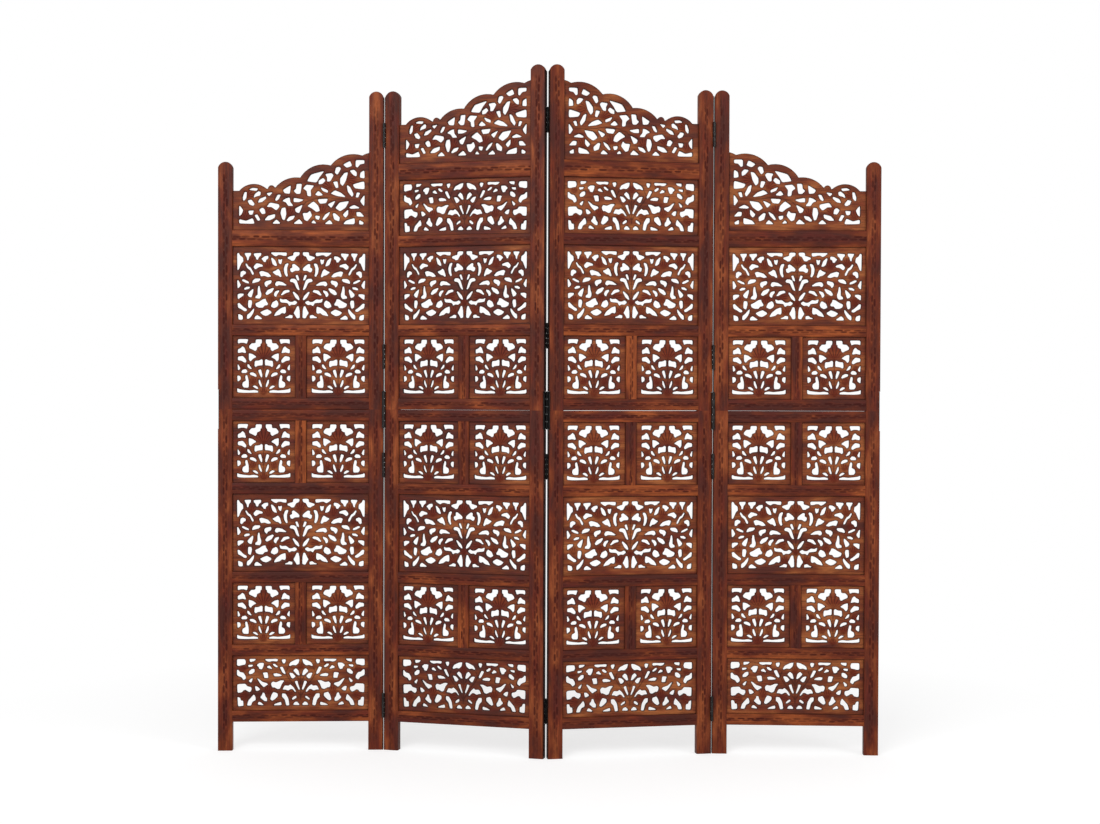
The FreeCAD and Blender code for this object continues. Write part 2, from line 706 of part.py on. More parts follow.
board_patterns = {
    "square": rectangular_board("square_pattern", square_width, sizes["square_opening"], SQUARE_PIERCING_SHARES),
    "tall": rectangular_board("tall_pattern", opening_width, sizes["tall_opening"], TALL_PIERCING_SHARES),
    "low": rectangular_board("low_pattern", opening_width, sizes["low_opening"], LOW_PIERCING_SHARES),
    "rising_crest": crest_board("rising_crest_pattern", True),
    "falling_crest": crest_board("falling_crest_pattern", False),
}
ordinary_hinge = Hinge("hinge", sizes["hinge_length"], sizes["hinge_plate"])
heavy_hinge = Hinge("split_hinge", sizes["split_hinge_length"], sizes["split_hinge_plate"])

for leaf in leaf_places:
    build_stiles(leaf)
    build_frame(leaf)
    build_boards(leaf, board_patterns)
for seam in SEAM_SIDES:
    build_seam(seam, ordinary_hinge, heavy_hinge)
build_edge_plate("edge_plate_left", 1, False)
build_edge_plate("edge_plate_right", 4, True)
document.recompute()


# Placement: every piece takes its leaf's place, then the screen moves to stand centred on the origin

for piece in pieces:
    piece.feature.Placement = leaf_places[piece.leaf].multiply(piece.place_in_leaf)
document.recompute()
whole = FreeCAD.BoundBox()
for piece in pieces:
    whole.add(piece.feature.Shape.BoundBox)
to_origin = FreeCAD.Placement(V(-whole.Center.x, -whole.Center.y, -whole.ZMin), FreeCAD.Rotation())
for piece in pieces:
    piece.feature.Placement = to_origin.multiply(piece.feature.Placement)
document.recompute()


# Checks and export

for item in document.Objects:
    faults = [state for state in item.State if state in ("Invalid", "Error")]
    if faults:
        raise RuntimeError(f"{item.Label}: {faults}")

os.makedirs("parts", exist_ok=True)
for piece in pieces:
    shape = piece.feature.Shape
    if shape.isNull() or not shape.isValid() or not shape.Solids:
        raise RuntimeError(f"{piece.feature.Label}: no valid solid")
    shape.exportStep(f"parts/{piece.feature.Label}.step")
    print(piece.feature.Label, len(shape.Solids), "solids", round(shape.Volume))

print("extents", round(whole.XLength, 2), round(whole.YLength, 2), round(whole.ZLength, 2))
for seam, barrel_side in SEAM_SIDES.items():
    place = to_origin.multiply(leaf_places[seam])
    axis = place.multVec(seam_axis_in_leaf(True, barrel_side))
    print("seam", seam, "axis", round(axis.x, 4), round(axis.y, 4))
for leaf in leaf_places:
    place = to_origin.multiply(leaf_places[leaf])
    for across in (stile_width.value / 2, leaf_width.value - stile_width.value / 2):
        foot = place.multVec(V(across, 0, 0))
        print("leaf", leaf, "foot", round(foot.x, 3), round(foot.y, 3))
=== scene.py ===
from math import pi, radians

import bpy
import numpy as np
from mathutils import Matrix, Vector


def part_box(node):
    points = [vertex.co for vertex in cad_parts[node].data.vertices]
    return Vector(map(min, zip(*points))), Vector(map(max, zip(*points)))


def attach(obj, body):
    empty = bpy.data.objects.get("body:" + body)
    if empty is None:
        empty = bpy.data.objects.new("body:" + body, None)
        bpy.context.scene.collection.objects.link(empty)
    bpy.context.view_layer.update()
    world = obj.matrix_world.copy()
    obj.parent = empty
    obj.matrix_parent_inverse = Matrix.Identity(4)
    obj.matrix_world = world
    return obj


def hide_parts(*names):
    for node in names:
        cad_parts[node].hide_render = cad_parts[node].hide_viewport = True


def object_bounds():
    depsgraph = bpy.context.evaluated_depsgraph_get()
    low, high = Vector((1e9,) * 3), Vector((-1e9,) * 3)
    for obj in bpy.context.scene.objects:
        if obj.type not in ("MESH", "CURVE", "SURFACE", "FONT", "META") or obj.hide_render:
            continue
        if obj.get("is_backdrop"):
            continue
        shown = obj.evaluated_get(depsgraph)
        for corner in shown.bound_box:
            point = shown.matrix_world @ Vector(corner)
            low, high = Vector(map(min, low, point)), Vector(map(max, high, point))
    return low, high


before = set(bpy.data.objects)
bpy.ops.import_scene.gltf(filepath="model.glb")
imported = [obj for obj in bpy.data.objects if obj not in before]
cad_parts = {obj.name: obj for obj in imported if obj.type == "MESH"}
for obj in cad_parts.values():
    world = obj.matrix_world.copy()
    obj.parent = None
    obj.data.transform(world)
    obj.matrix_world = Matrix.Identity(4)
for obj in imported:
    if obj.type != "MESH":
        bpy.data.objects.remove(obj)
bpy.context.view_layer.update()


# The four leaves. Each one stands at its own angle, so a piece is worked out in its leaf's own measures:
# across from the left outer edge, from front to back about the middle of the wood, and up from the floor.

leaf_width = 0.400
stile_width = 0.035
opening_width = leaf_width - 2 * stile_width


def middle_of(node):
    """The middle of a node's box."""
    return np.mean(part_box(node), axis=0)


class Leaf:
    """Where a leaf stands: its stiles' middles give the line that it runs along."""

    def __init__(self, number):
        self.number = number
        left = middle_of(f"leaf_{number}_left_stile_lower")
        right = middle_of(f"leaf_{number}_right_stile_lower")
        run = right - left
        run /= np.linalg.norm(run)
        self.axes = np.array([run, (-run[1], run[0], 0), (0, 0, 1)])
        self.corner = (left - run * stile_width / 2) * (1, 1, 0)

    def placed(self, points):
        """corner + across * run + back * behind + up * z, for every point."""
        return self.corner + points @ self.axes


leaves = {number: Leaf(number) for number in (1, 2, 3, 4)}

foot_height = 0.070
rail_height = 0.027
wide_rail_height = 0.040
split_setback = 0.001
BAY_HEIGHTS = {"low": 0.135, "square": 0.151, "tall": 0.190}


def climb(start, bays):
    """Rails and bays from the lowest rail upwards: (bottom, top) of each rail, (kind, bottom) of each
    bay."""
    rails = [(start, start + rail_height)]
    filled = []
    for kind in bays:
        bottom = rails[-1][1]
        top = bottom + BAY_HEIGHTS[kind]
        filled.append((kind, bottom))
        rails.append((top, top + rail_height))
    return rails, filled


lower_rails, lower_bays = climb(foot_height, ("low", "square", "tall", "square"))
split_height = lower_rails[-1][1] + split_setback
upper_layout = {}
for number in leaves:
    bays = ("square", "tall") if number in (1, 4) else ("square", "tall", "low")
    rails, filled = climb(split_height + split_setback, bays)
    rails[-1] = (rails[-1][0], rails[-1][0] + wide_rail_height)
    upper_layout[number] = (rails, filled)


# The pierced boards. A flower stands in the middle of each square board, a tree fills each tall one, and
# vines fill the low boards and the crests. They are sawn through with a fine blade, then rounded over by
# hand, and every board has a plain border that runs into the grooves of the frame.

board_thickness = 0.009
board_grip = 0.0065
side_border = 0.010
FIELD_BORDERS = {"square": (0.012, 0.008), "tall": (0.013, 0.013), "low": (0.010, 0.010)}
muntin_width = 0.032
muntin_easing = 0.0025
square_width = (opening_width - muntin_width) / 2
crest_height = 0.190

# Half of each pattern, drawn on a sheet of its own: corners of every hole as across,down, holes parted by
# slashes. The sheet gives the left edge, the middle line, the upper and the lower edge of the pierced
# field.

SQUARE_SHEET = (90, 381, 98, 675)
SQUARE_HOLES = """
97,100 213,100 200,135 196,150 165,138 130,138 97,148 / 293,103 361,103 358,143 345,150 345,170 330,180
308,186 306,212 288,228 262,212 222,196 219,175 245,145 290,143 /
97,210 125,198 150,174 172,195 190,250 145,240 97,250 / 97,290 150,280 172,300 192,330 185,352 165,348
135,330 97,325 / 216,250 262,262 302,290 262,310 236,340 218,320 /
283,332 325,330 358,314 370,325 368,380 345,380 310,385 292,400 278,385 /
95,365 108,380 124,410 120,425 97,435 / 200,368 220,372 255,425 215,410 202,395 /
135,448 150,428 185,422 205,445 190,462 140,462 / 90,490 120,495 130,510 128,535 95,558 /
228,460 260,456 290,470 305,495 295,505 262,492 230,480 / 320,432 350,422 365,480 362,515 345,500 325,455 /
325,530 340,540 358,590 362,615 345,610 325,570 / 180,490 200,485 215,540 218,580 215,620 160,618 145,595
150,565 185,545 178,515 / 255,605 285,596 310,610 325,635 300,632 /
90,625 115,638 160,645 225,652 275,645 318,655 325,672 160,675 90,670
"""
TALL_SHEET = (57, 768, 20, 790)
TALL_HOLES = """
57,35 75,35 90,65 120,85 125,130 105,145 75,220 60,230 / 138,35 212,32 205,60 190,75 180,115 168,115 165,85
150,60 / 240,38 325,32 320,60 300,75 285,108 270,105 262,75 245,60 /
425,25 608,25 603,62 570,60 540,50 515,50 490,68 465,58 / 618,92 618,78 655,65 682,58 682,28 700,20 750,22
748,45 735,60 715,65 690,115 660,118 650,105 / 325,98 360,70 400,65 402,95 380,105 372,135 350,130 345,115 /
432,85 450,90 480,120 500,178 475,175 450,155 / 512,100 530,110 555,100 552,130 542,160 520,145 /
148,160 158,152 185,190 205,200 240,262 238,282 222,275 200,225 170,205 /
240,185 270,150 300,155 340,170 340,185 300,190 262,218 245,205 /
575,210 590,160 608,150 628,150 610,200 610,250 620,295 602,298 582,260 /
645,208 670,198 668,160 690,155 735,190 750,210 745,230 700,230 668,250 650,238 /
95,250 120,235 155,250 150,272 130,280 110,310 92,300 / 302,248 330,238 365,248 400,260 435,298 400,305
360,290 320,298 / 448,248 480,235 512,212 530,235 550,298 535,305 515,285 490,282 /
705,285 728,280 745,330 742,345 722,332 / 108,338 130,335 185,362 188,380 150,370 115,350 /
222,378 232,345 255,325 310,325 315,338 295,358 / 57,340 72,350 98,400 75,430 62,435 /
360,375 375,355 430,342 440,355 430,380 398,395 385,422 365,400 /
478,385 490,360 515,355 560,365 612,402 560,398 520,395 500,408 482,400 /
642,345 655,325 690,325 715,340 735,400 750,455 730,445 715,425 692,370 670,360 650,358 /
132,440 160,420 200,420 190,440 140,452 / 292,410 305,410 312,460 325,500 322,530 305,552 258,545 262,525
285,510 285,450 / 172,505 200,470 235,440 235,470 215,540 185,528 /
372,490 395,455 455,430 465,440 440,480 395,508 375,505 / 465,500 480,470 525,455 520,475 500,500 490,532
470,520 / 540,512 575,460 625,452 640,465 635,475 600,485 560,510 /
672,475 690,475 735,520 750,560 740,568 705,540 / 62,505 90,498 130,500 125,518 95,540 65,562 /
62,610 80,605 130,655 162,675 165,692 140,698 100,670 68,655 /
182,572 215,572 222,600 210,655 200,662 180,650 178,620 / 258,610 300,590 345,560 372,555 378,580 398,610
395,625 358,630 345,655 300,655 268,640 / 430,640 450,595 490,572 505,585 515,615 505,640 470,660 /
528,550 560,565 600,560 640,590 672,590 695,575 720,590 722,600 695,622 660,618 635,635 618,600 560,595
538,590 / 245,662 242,700 225,735 205,765 180,785 165,780 168,740 190,725 /
312,710 350,690 390,675 435,702 438,715 400,740 378,748 345,740 /
465,750 490,705 545,660 595,642 598,705 585,722 555,712 530,735 /
722,640 740,640 750,690 752,770 720,775 708,750 685,715 700,690 /
580,770 620,755 640,738 672,745 670,775 625,770 / 248,788 255,760 280,742 340,785 /
68,730 115,748 122,785 105,795 72,790
"""
LOW_SHEET = (205, 813, 40, 515)
LOW_HOLES = """
205,42 280,42 288,70 280,95 250,100 225,108 205,105 / 325,40 385,40 365,60 328,70 /
312,100 358,98 345,115 315,122 / 470,42 595,40 585,65 540,60 510,68 485,60 /
630,48 665,42 668,60 655,88 640,80 / 700,105 715,75 765,48 798,42 790,80 765,105 735,100 705,112 /
395,100 420,80 460,80 455,110 440,145 415,138 412,118 398,112 / 490,120 515,105 540,140 525,138 495,130 /
545,90 565,90 595,118 580,125 555,110 / 612,125 638,118 665,180 662,195 640,180 /
742,160 765,135 788,155 800,205 785,205 760,180 / 318,170 345,142 370,140 370,170 345,190 320,192 /
450,180 495,175 502,232 465,232 460,205 / 550,190 580,185 615,195 632,210 600,215 560,215 /
702,180 735,185 762,215 740,238 725,235 / 205,150 215,148 235,172 265,178 285,210 288,235 265,252 250,225
215,210 205,200 / 318,262 335,245 355,230 340,275 325,275 / 395,235 415,245 445,272 490,285 498,298 475,312
458,325 430,295 / 530,290 545,270 580,278 620,258 655,258 630,290 612,340 590,345 555,325 545,330 535,315 /
755,268 780,262 785,290 802,345 795,355 775,315 / 207,295 285,290 300,315 340,325 342,350 325,375 300,362
285,350 262,355 250,375 210,382 / 375,315 400,320 425,345 405,360 385,362 /
640,350 660,310 700,312 712,298 745,330 768,375 755,372 735,345 715,345 690,360 665,350 /
210,425 232,430 242,460 262,462 265,512 215,518 / 300,510 315,460 345,425 368,398 380,430 380,455 350,470
335,510 / 425,430 445,405 450,380 465,385 475,420 490,440 488,468 465,465 /
522,450 535,405 552,375 590,388 592,415 565,445 540,462 / 635,390 665,392 688,430 695,455 702,508 675,512
660,450 635,425 / 728,445 745,425 768,412 770,432 735,455 / 400,500 415,472 435,482 460,508 /
550,508 580,490 625,475 628,508 / 740,505 755,480 775,472 798,498 795,508
"""
# The flowers on each sheet: middle, radius, and the way each one opens, in degrees from straight up to the
# right.
FLOWERS = {
    "square": ((381, 225, 92, 0), (265, 540, 46, 0), (150, 395, 34, -60), (381, 660, 48, 0)),
    "tall": ((213, 130, 52, 0), (405, 165, 56, 0), (768, 110, 60, 0), (165, 300, 44, -90), (130, 570, 52, 0),
             (432, 560, 52, 180), (612, 530, 54, 90), (645, 690, 52, -30), (768, 600, 40, 0)),
    "low": ((813, 112, 40, 0), (262, 132, 36, -90), (508, 350, 46, 0), (270, 405, 48, -90),
            (705, 385, 46, 90), (560, 75, 34, -60)),
    "crest": ((1228, 305, 52, 90), (1027, 361, 50, -60), (981, 559, 46, 0), (1218, 590, 46, 0),
              (707, 580, 50, 0), (527, 564, 46, 30), (331, 610, 46, 0), (377, 437, 40, 60)),
}

# Carved lines that follow the stems, on the same sheets.
STEMS = {
    "square": (((381, 300), (381, 655)),),
    "tall": (((768, 150), (768, 620)), ((700, 555), (740, 590), (768, 640)),
             ((640, 330), (700, 420), (755, 560))),
    "low": (((813, 200), (813, 450)), ((668, 180), (700, 235), (760, 320), (808, 410)),
            ((690, 130), (668, 180)), ((770, 195), (806, 265))),
    "crest": (((1290, 474), (1200, 471), (1110, 470), (1040, 457), (960, 457), (905, 476), (850, 494)),
              ((850, 494), (838, 512), (745, 548), (640, 575))),
}

# The crest is drawn whole, its low side at the left. Its sheet gives the left and right edge of the opening
# and the top of the wide rail, and its holes are drawn a little low, so they are stretched upwards.
CREST_SHEET = (238, 1378, 734)
crest_stretch = 1.015
CREST_HOLES = """
370,400 400,385 445,390 435,408 / 322,485 320,460 335,420 352,420 348,470 330,490 /
410,465 420,435 450,412 468,420 465,445 430,455 / 360,490 390,482 418,520 405,532 375,520 /
445,505 460,475 510,455 515,470 480,500 / 518,428 568,420 540,452 /
590,480 610,440 635,440 620,475 600,490 / 520,540 545,505 620,520 625,540 600,568 560,540 /
457,565 480,548 500,560 508,595 480,600 / 365,575 410,572 400,605 375,605 /
290,530 322,570 310,600 290,620 / 290,645 345,660 400,635 418,680 290,678 /
418,610 440,605 465,650 445,655 / 500,650 530,615 590,600 585,630 545,650 / 565,678 600,645 635,678 /
655,400 720,360 712,430 670,425 / 745,405 765,390 770,350 812,348 800,430 770,430 /
650,490 680,470 710,462 715,500 740,530 700,530 680,500 / 745,465 830,480 790,498 745,498 /
635,590 645,550 675,545 682,600 668,650 650,640 / 755,555 820,520 790,590 765,580 /
685,650 710,620 755,612 740,640 700,658 / 742,678 790,640 822,678 /
857,325 890,270 1000,240 960,290 935,335 / 825,385 850,355 915,362 885,400 890,450 860,445 855,405 /
925,435 950,405 990,440 950,445 / 860,530 910,492 950,530 962,570 935,578 900,550 /
820,590 860,590 880,570 897,610 860,655 835,645 / 893,670 910,648 935,675 /
925,610 965,615 955,645 930,635 / 945,475 1030,470 1015,505 965,510 /
955,350 955,320 990,298 1010,320 985,345 / 1010,265 1060,258 1078,275 1050,325 1025,325 1025,290 /
970,375 1030,400 1030,420 990,405 / 1075,330 1110,325 1118,375 1100,380 /
1055,425 1090,400 1140,420 1180,455 1110,445 / 1030,515 1095,485 1060,545 /
985,640 1010,600 1048,578 1035,610 1000,645 / 1005,678 1045,645 1072,678 /
1072,590 1090,590 1130,625 1125,655 1085,640 / 1095,545 1130,500 1208,488 1180,540 1135,572 /
1090,250 1100,210 1125,205 1140,220 1110,270 / 1160,185 1215,155 1232,195 1190,210 /
1135,340 1135,300 1170,255 1198,250 1180,320 1155,362 / 1265,148 1335,148 1335,175 1300,180 1280,208
1265,200 / 1215,235 1250,228 1272,250 1270,282 1245,270 / 1335,232 1338,298 1300,290 1305,250 /
1240,350 1335,322 1338,388 1260,380 / 1190,355 1215,370 1245,430 1235,452 1200,410 /
1265,455 1275,415 1300,420 1285,455 / 1338,435 1335,530 1302,485 / 1210,540 1250,520 1300,545 1225,550 /
1157,600 1200,558 1200,600 1180,625 / 1272,580 1300,578 1335,615 1275,612 /
1160,678 1185,650 1255,628 1255,678 / 1295,645 1330,665 1325,680 1295,678
"""
# The crest's scalloped top, as shares of the opening's width and of the crest's height: start, middle and
# end of the arc over each lobe, and of the little ball between the first two.
crest_shoulder_share = 0.50
CREST_ARC_SHARES = (
    ((0.046, 0.50), (0.150, 0.59), (0.247, 0.53)),
    ((0.256, 0.53), (0.282, 0.575), (0.308, 0.54)),
    ((0.308, 0.54), (0.375, 0.64), (0.493, 0.675)),
    ((0.493, 0.675), (0.575, 0.81), (0.717, 0.835)),
    ((0.717, 0.835), (0.83, 0.97), (0.95, 0.965)),
    ((0.95, 0.965), (0.972, 0.985), (1.0, 1.0)),
)


def read_holes(text):
    """Each hole's corners as an array of across,down pairs."""
    return [np.array([pair.split(",") for pair in hole.split()], float) for hole in text.split("/")]


def eased(loop, shares=(0.10, 0.22)):
    """Corner cutting: every run a-b keeps the stretch from a + share (b - a) to b - share (b - a), once a
    share."""
    for share in shares:
        after = np.roll(loop, -1, axis=0)
        loop = np.stack([loop + share * (after - loop), after + share * (loop - after)], 1).reshape(-1, 2)
    return loop


def field_pattern(kind, sheet, text, width):
    """Holes, flowers and stems of a board in metres, from half its drawing: each one and its mirror
    image."""
    left, middle, upper, lower = sheet
    below, above = FIELD_BORDERS[kind]
    across = (width / 2 - side_border) / (middle - left)
    up = (BAY_HEIGHTS[kind] - below - above) / (lower - upper)

    def both_sides(points):
        drawn = (np.array(points) - (left, lower)) * (across, -up) + (side_border, below)
        return drawn, (width, 0) + drawn * (-1, 1)

    holes = [side for corners in read_holes(text) for side in both_sides(corners)]
    stems = [side for line in STEMS[kind] for side in both_sides(line)]
    flowers = []
    for x, y, radius, turn in FLOWERS[kind]:
        place, mirrored = both_sides((x, y))
        flowers += [(place, radius * across, radians(turn)), (mirrored, radius * across, -radians(turn))]
    return holes, flowers, stems


def crest_pattern():
    """Holes, flowers and stems of the crest in metres: across from the low side, up from the wide rail."""
    left, right, foot = CREST_SHEET
    unit = opening_width / (right - left)

    def drawn(points, stretch=1.0):
        return (np.array(points) - (left, foot)) * (unit, -unit * stretch)

    holes = [drawn(corners, crest_stretch) for corners in read_holes(CREST_HOLES)]
    flowers = [(drawn((x, y)), radius * unit, radians(turn)) for x, y, radius, turn in FLOWERS["crest"]]
    return holes, flowers, [drawn(line) for line in STEMS["crest"]]


def arc_through(a, b, c, steps=14):
    """Points of the circle through three points: its centre is as far from each of them."""
    rows = 2 * np.array([b - a, c - a])
    centre = np.linalg.solve(rows, np.array([b @ b - a @ a, c @ c - a @ a]))
    angles = [np.arctan2(*(p - centre)[::-1]) for p in (a, b, c)]
    for index in (1, 2):
        while angles[index] > angles[index - 1]:
            angles[index] -= 2 * pi
    turn = np.linspace(angles[0], angles[2], steps)
    return centre + np.linalg.norm(a - centre) * np.stack([np.cos(turn), np.sin(turn)], 1)


def crest_outline():
    """The crest's edge as one loop: foot, low end, shoulder, lobes, high end."""
    size = np.array([opening_width, crest_height])
    points = [(-board_grip, -board_grip), (-board_grip, crest_shoulder_share * crest_height)]
    for arc in CREST_ARC_SHARES:
        points += list(arc_through(*(np.array(arc) * size)))
    points += [(opening_width + board_grip, crest_height), (opening_width + board_grip, -board_grip)]
    return np.array(points)


tiny = 1e-18


def distance_to_loop(x, z, loop):
    """Distance of each point p to the nearest run a-b of a loop, |p - a - t (b - a)| with t kept within 0
    and 1, and whether the point is inside: a ray to the right of it crosses the loop an odd number of
    times."""
    from_x, from_z = loop.T[:, :, None]
    run_x, run_z = (np.roll(loop, -1, axis=0) - loop).T[:, :, None]
    away_x, away_z = x.ravel() - from_x, z.ravel() - from_z
    share = np.clip((away_x * run_x + away_z * run_z) / (run_x ** 2 + run_z ** 2 + tiny), 0, 1)
    nearest = np.sqrt(((away_x - share * run_x) ** 2 + (away_z - share * run_z) ** 2).min(0))
    below = away_z < 0
    climbs = np.where(run_z == 0, tiny, run_z)
    crosses = (below != np.roll(below, -1, axis=0)) & (away_x < away_z * run_x / climbs)
    return nearest.reshape(x.shape), (crosses.sum(0) % 2 == 1).reshape(x.shape)


# The faces of one cell of the grid, by which of its corners A B C D are wood (1, 2, 4, 8). A digit is the
# point where the edge of the wood crosses the cell's lower, right, upper or left side.
CELL_FACES = {1: ("A03",), 2: ("B10",), 3: ("AB13",), 4: ("C21",), 5: ("A03", "C21"), 6: ("BC20",),
              7: ("ABC23",), 8: ("D32",), 9: ("A02D",), 10: ("B10", "D32"), 11: ("AB12D",), 12: ("CD31",),
              13: ("A01CD",), 14: ("BCD30",), 15: ("ABCD",)}


def sawn_out(wood, measures):
    """Marching squares: a grid is cut where wood falls below nothing, between two points at the share
    wood_a / (wood_a - wood_b). Gives the measures at each corner of the faces that are left, those faces as
    corners and counts, and the runs of the cut edge as pairs of corners."""
    inside = wood > 0
    corner_id = np.cumsum(inside.ravel()).reshape(inside.shape) - 1
    count = int(inside.sum())
    ids = {}
    spots = [np.stack([measure[inside] for measure in measures], 1)]
    for way, first, second in (("across", np.s_[:-1, :], np.s_[1:, :]), ("up", np.s_[:, :-1], np.s_[:, 1:])):
        crossing = inside[first] != inside[second]
        share = wood[first][crossing] / (wood[first][crossing] - wood[second][crossing])
        spots.append(np.stack([measure[first][crossing] * (1 - share) + measure[second][crossing] * share
                               for measure in measures], 1))
        ids[way] = np.zeros(crossing.shape, int)
        ids[way][crossing] = count + np.arange(crossing.sum())
        count += int(crossing.sum())
    case = inside[:-1, :-1] * 1 + inside[1:, :-1] * 2 + inside[1:, 1:] * 4 + inside[:-1, 1:] * 8
    around = {"A": corner_id[:-1, :-1], "B": corner_id[1:, :-1],
              "C": corner_id[1:, 1:], "D": corner_id[:-1, 1:],
              "0": ids["across"][:, :-1], "1": ids["up"][1:, :],
              "2": ids["across"][:, 1:], "3": ids["up"][:-1, :]}
    corners, counts, runs = [], [], []
    for number, faces in CELL_FACES.items():
        for face in faces:
            ring = np.stack([around[mark][case == number] for mark in face], 1)
            corners.append(ring.ravel())
            counts.append(np.full(len(ring), len(face)))
            cut = [index for index, mark in enumerate(face) if mark.isdigit()]
            if cut:
                runs.append(ring[:, cut])
    return [np.concatenate(parts) for parts in (spots, corners, counts, runs)]


# How the boards are sawn and rounded: the grid that they are worked out on, how much wider than drawn the
# saw cut each kind's holes, and the depth and reach of the rounding at a hole and of the hollow beside a
# stem.
grid_pitch = 0.00187
HOLE_GROWTH = {"square": 0.0001, "tall": 0.0004, "low": 0.0005, "crest": 0.0005}
rim_drop = 0.0019
rim_round = 0.0032
no_rim = 0.02
stem_drop = 0.0008
stem_reach = 0.0024
# The next two set the painted shade beside a carved stem: where it starts on the stem's line, and how fast
# it fades away from it.
stem_shade_offset = 0.0003
stem_shade_growth = 0.9


def shape_of(points, corners, counts, rim=no_rim, grain=(0, 1, 2), carve=0.0):
    """A shape: its points, the corners of its faces one after another, how many each face has, and what the
    wood's finish reads at a point: distance to a rim, which sets its painted shade, place with the grain's
    way first, carving and tone."""
    count = len(points)
    return {"points": points, "corners": corners, "counts": counts, "rim": np.broadcast_to(rim, count),
            "grain": points[:, grain], "carve": np.broadcast_to(carve, (count, 3)), "tone": np.zeros(count)}


def flower_carving(points, flowers):
    """For each point: how far it is aside of and ahead of the foot of its flower, and minus its share in
    it, which falls from 1 to 0 between 0.6 and 1.1 of the flower's radius."""
    carve = np.zeros((len(points), 3))
    for place, radius, turn in flowers:
        ahead = np.array([np.sin(turn), np.cos(turn)])
        away = points - place
        share = np.clip((1.1 - np.linalg.norm(away, axis=1) / radius) / 0.5, 0, 1)
        rise = (away + ahead * radius) @ ahead
        aside = away @ (ahead[1], -ahead[0])
        nearer = share > -carve[:, 2]
        carve[nearer] = np.stack([aside, rise, -share], 1)[nearer]
    return carve


def pierced_board(kind, width, height, holes, flowers, stems, outline=None, inner_margin=0.0):
    """A board with its holes. The wood is where the distance to the nearest hole is above nothing. Its face
    sinks by rim_drop (1 - distance / rim_round)^2 near a hole and by stem_drop (1 - distance /
    stem_reach)^2 beside a carved stem, and walls join the two faces. The rim measure of each point, its
    distance to a hole, a board's edge or a carved stem, carries painted shade there. The board shows by
    inner_margin beyond its width on the right, where a muntin is, and the painted shade follows that edge."""
    xs, zs = (np.arange(-board_grip - 1.5 * grid_pitch, size + board_grip + 2 * grid_pitch, grid_pitch)
              for size in (width, height))
    x, z = np.meshgrid(xs, zs, indexing="ij")
    rim = np.full(x.shape, no_rim)
    for corners in holes:
        loop = eased(corners)
        ends = np.array([loop.min(0) - 2 * rim_round, loop.max(0) + 2 * rim_round])
        window = (slice(*np.searchsorted(xs, ends[:, 0])), slice(*np.searchsorted(zs, ends[:, 1])))
        nearest, inside = distance_to_loop(x[window], z[window], loop)
        rim[window] = np.minimum(rim[window], np.where(inside, -nearest, nearest) - HOLE_GROWTH[kind])
    wood = np.minimum.reduce([rim, x + board_grip, width + board_grip - x,
                              z + board_grip, height + board_grip - z])
    if outline is not None:
        nearest, inside = distance_to_loop(x, z, outline)
        edge = np.where(inside, nearest, -nearest)
        wood = np.minimum(wood, edge)
        rim = np.minimum(rim, np.where((x > 0) & (x < width) & (z > 0), np.maximum(edge, 0), no_rim))
    least = 0.1 * grid_pitch
    wood = np.where(np.abs(wood) < least, np.where(wood > 0, least, -least), wood)
    (x, z, rim), corners, counts, (start, end) = (part.T for part in sawn_out(wood, (x, z, rim)))

    stem = np.full(len(x), no_rim)
    for line in stems:
        there_and_back = np.concatenate([line, line[-2:0:-1]])
        stem = np.minimum(stem, distance_to_loop(x, z, there_and_back)[0])
    face = (board_thickness / 2 - rim_drop * (1 - np.clip(rim / rim_round, 0, 1)) ** 2
            - stem_drop * (1 - np.clip(stem / stem_reach, 0, 1)) ** 2)
    points = np.concatenate([np.stack([x, -face, z], 1), np.stack([x, face, z], 1)])
    # Painted shade: how near a point is to a hole, the board's edges beside the frame and, below, a carved
    # stem; the wood is darkened there.
    edge = np.minimum.reduce([rim, x, width + inner_margin - x, z])
    if outline is None:
        edge = np.minimum(edge, height - z)
    edge = np.clip(np.minimum(edge, stem_shade_offset + stem_shade_growth * stem), 0, no_rim)
    walls = np.stack([end, start, start + len(x), end + len(x)], 1)
    return shape_of(points, np.concatenate([corners, corners[::-1] + len(x), walls.ravel()]),
                    np.concatenate([counts, counts[::-1], np.full(len(walls), 4)]),
                    np.concatenate([edge, edge]), (0, 2, 1), flower_carving(points[:, (0, 2)], flowers))


def turned(shape, signs=(1, 1, 1), shift=(0, 0, 0), order=(0, 1, 2)):
    """A copy of a shape: its points' measures in this order, times signs, plus shift. Where that mirrors
    the shape, each face's corners are taken backwards, so that it still faces outwards."""
    copy = dict(shape)
    copy["points"] = shape["points"][:, order] * signs + shift
    if np.linalg.det(np.eye(3)[list(order)] * signs) < 0:
        copy["corners"], copy["counts"] = shape["corners"][::-1], shape["counts"][::-1]
    return copy


chance = np.random.default_rng(20)
plank_size = 40
tone_spread = 0.12


def own_wood(shape, tone=None):
    """Each length of wood comes from another part of the plank, and takes the stain a little lighter or
    darker."""
    copy = dict(shape)
    copy["grain"] = shape["grain"] + chance.uniform(0, plank_size, 3)
    value = chance.uniform(0, 1) if tone is None else tone + chance.uniform(-tone_spread, tone_spread)
    copy["tone"] = np.full(len(shape["points"]), value)
    return copy


crease_angle = radians(42)


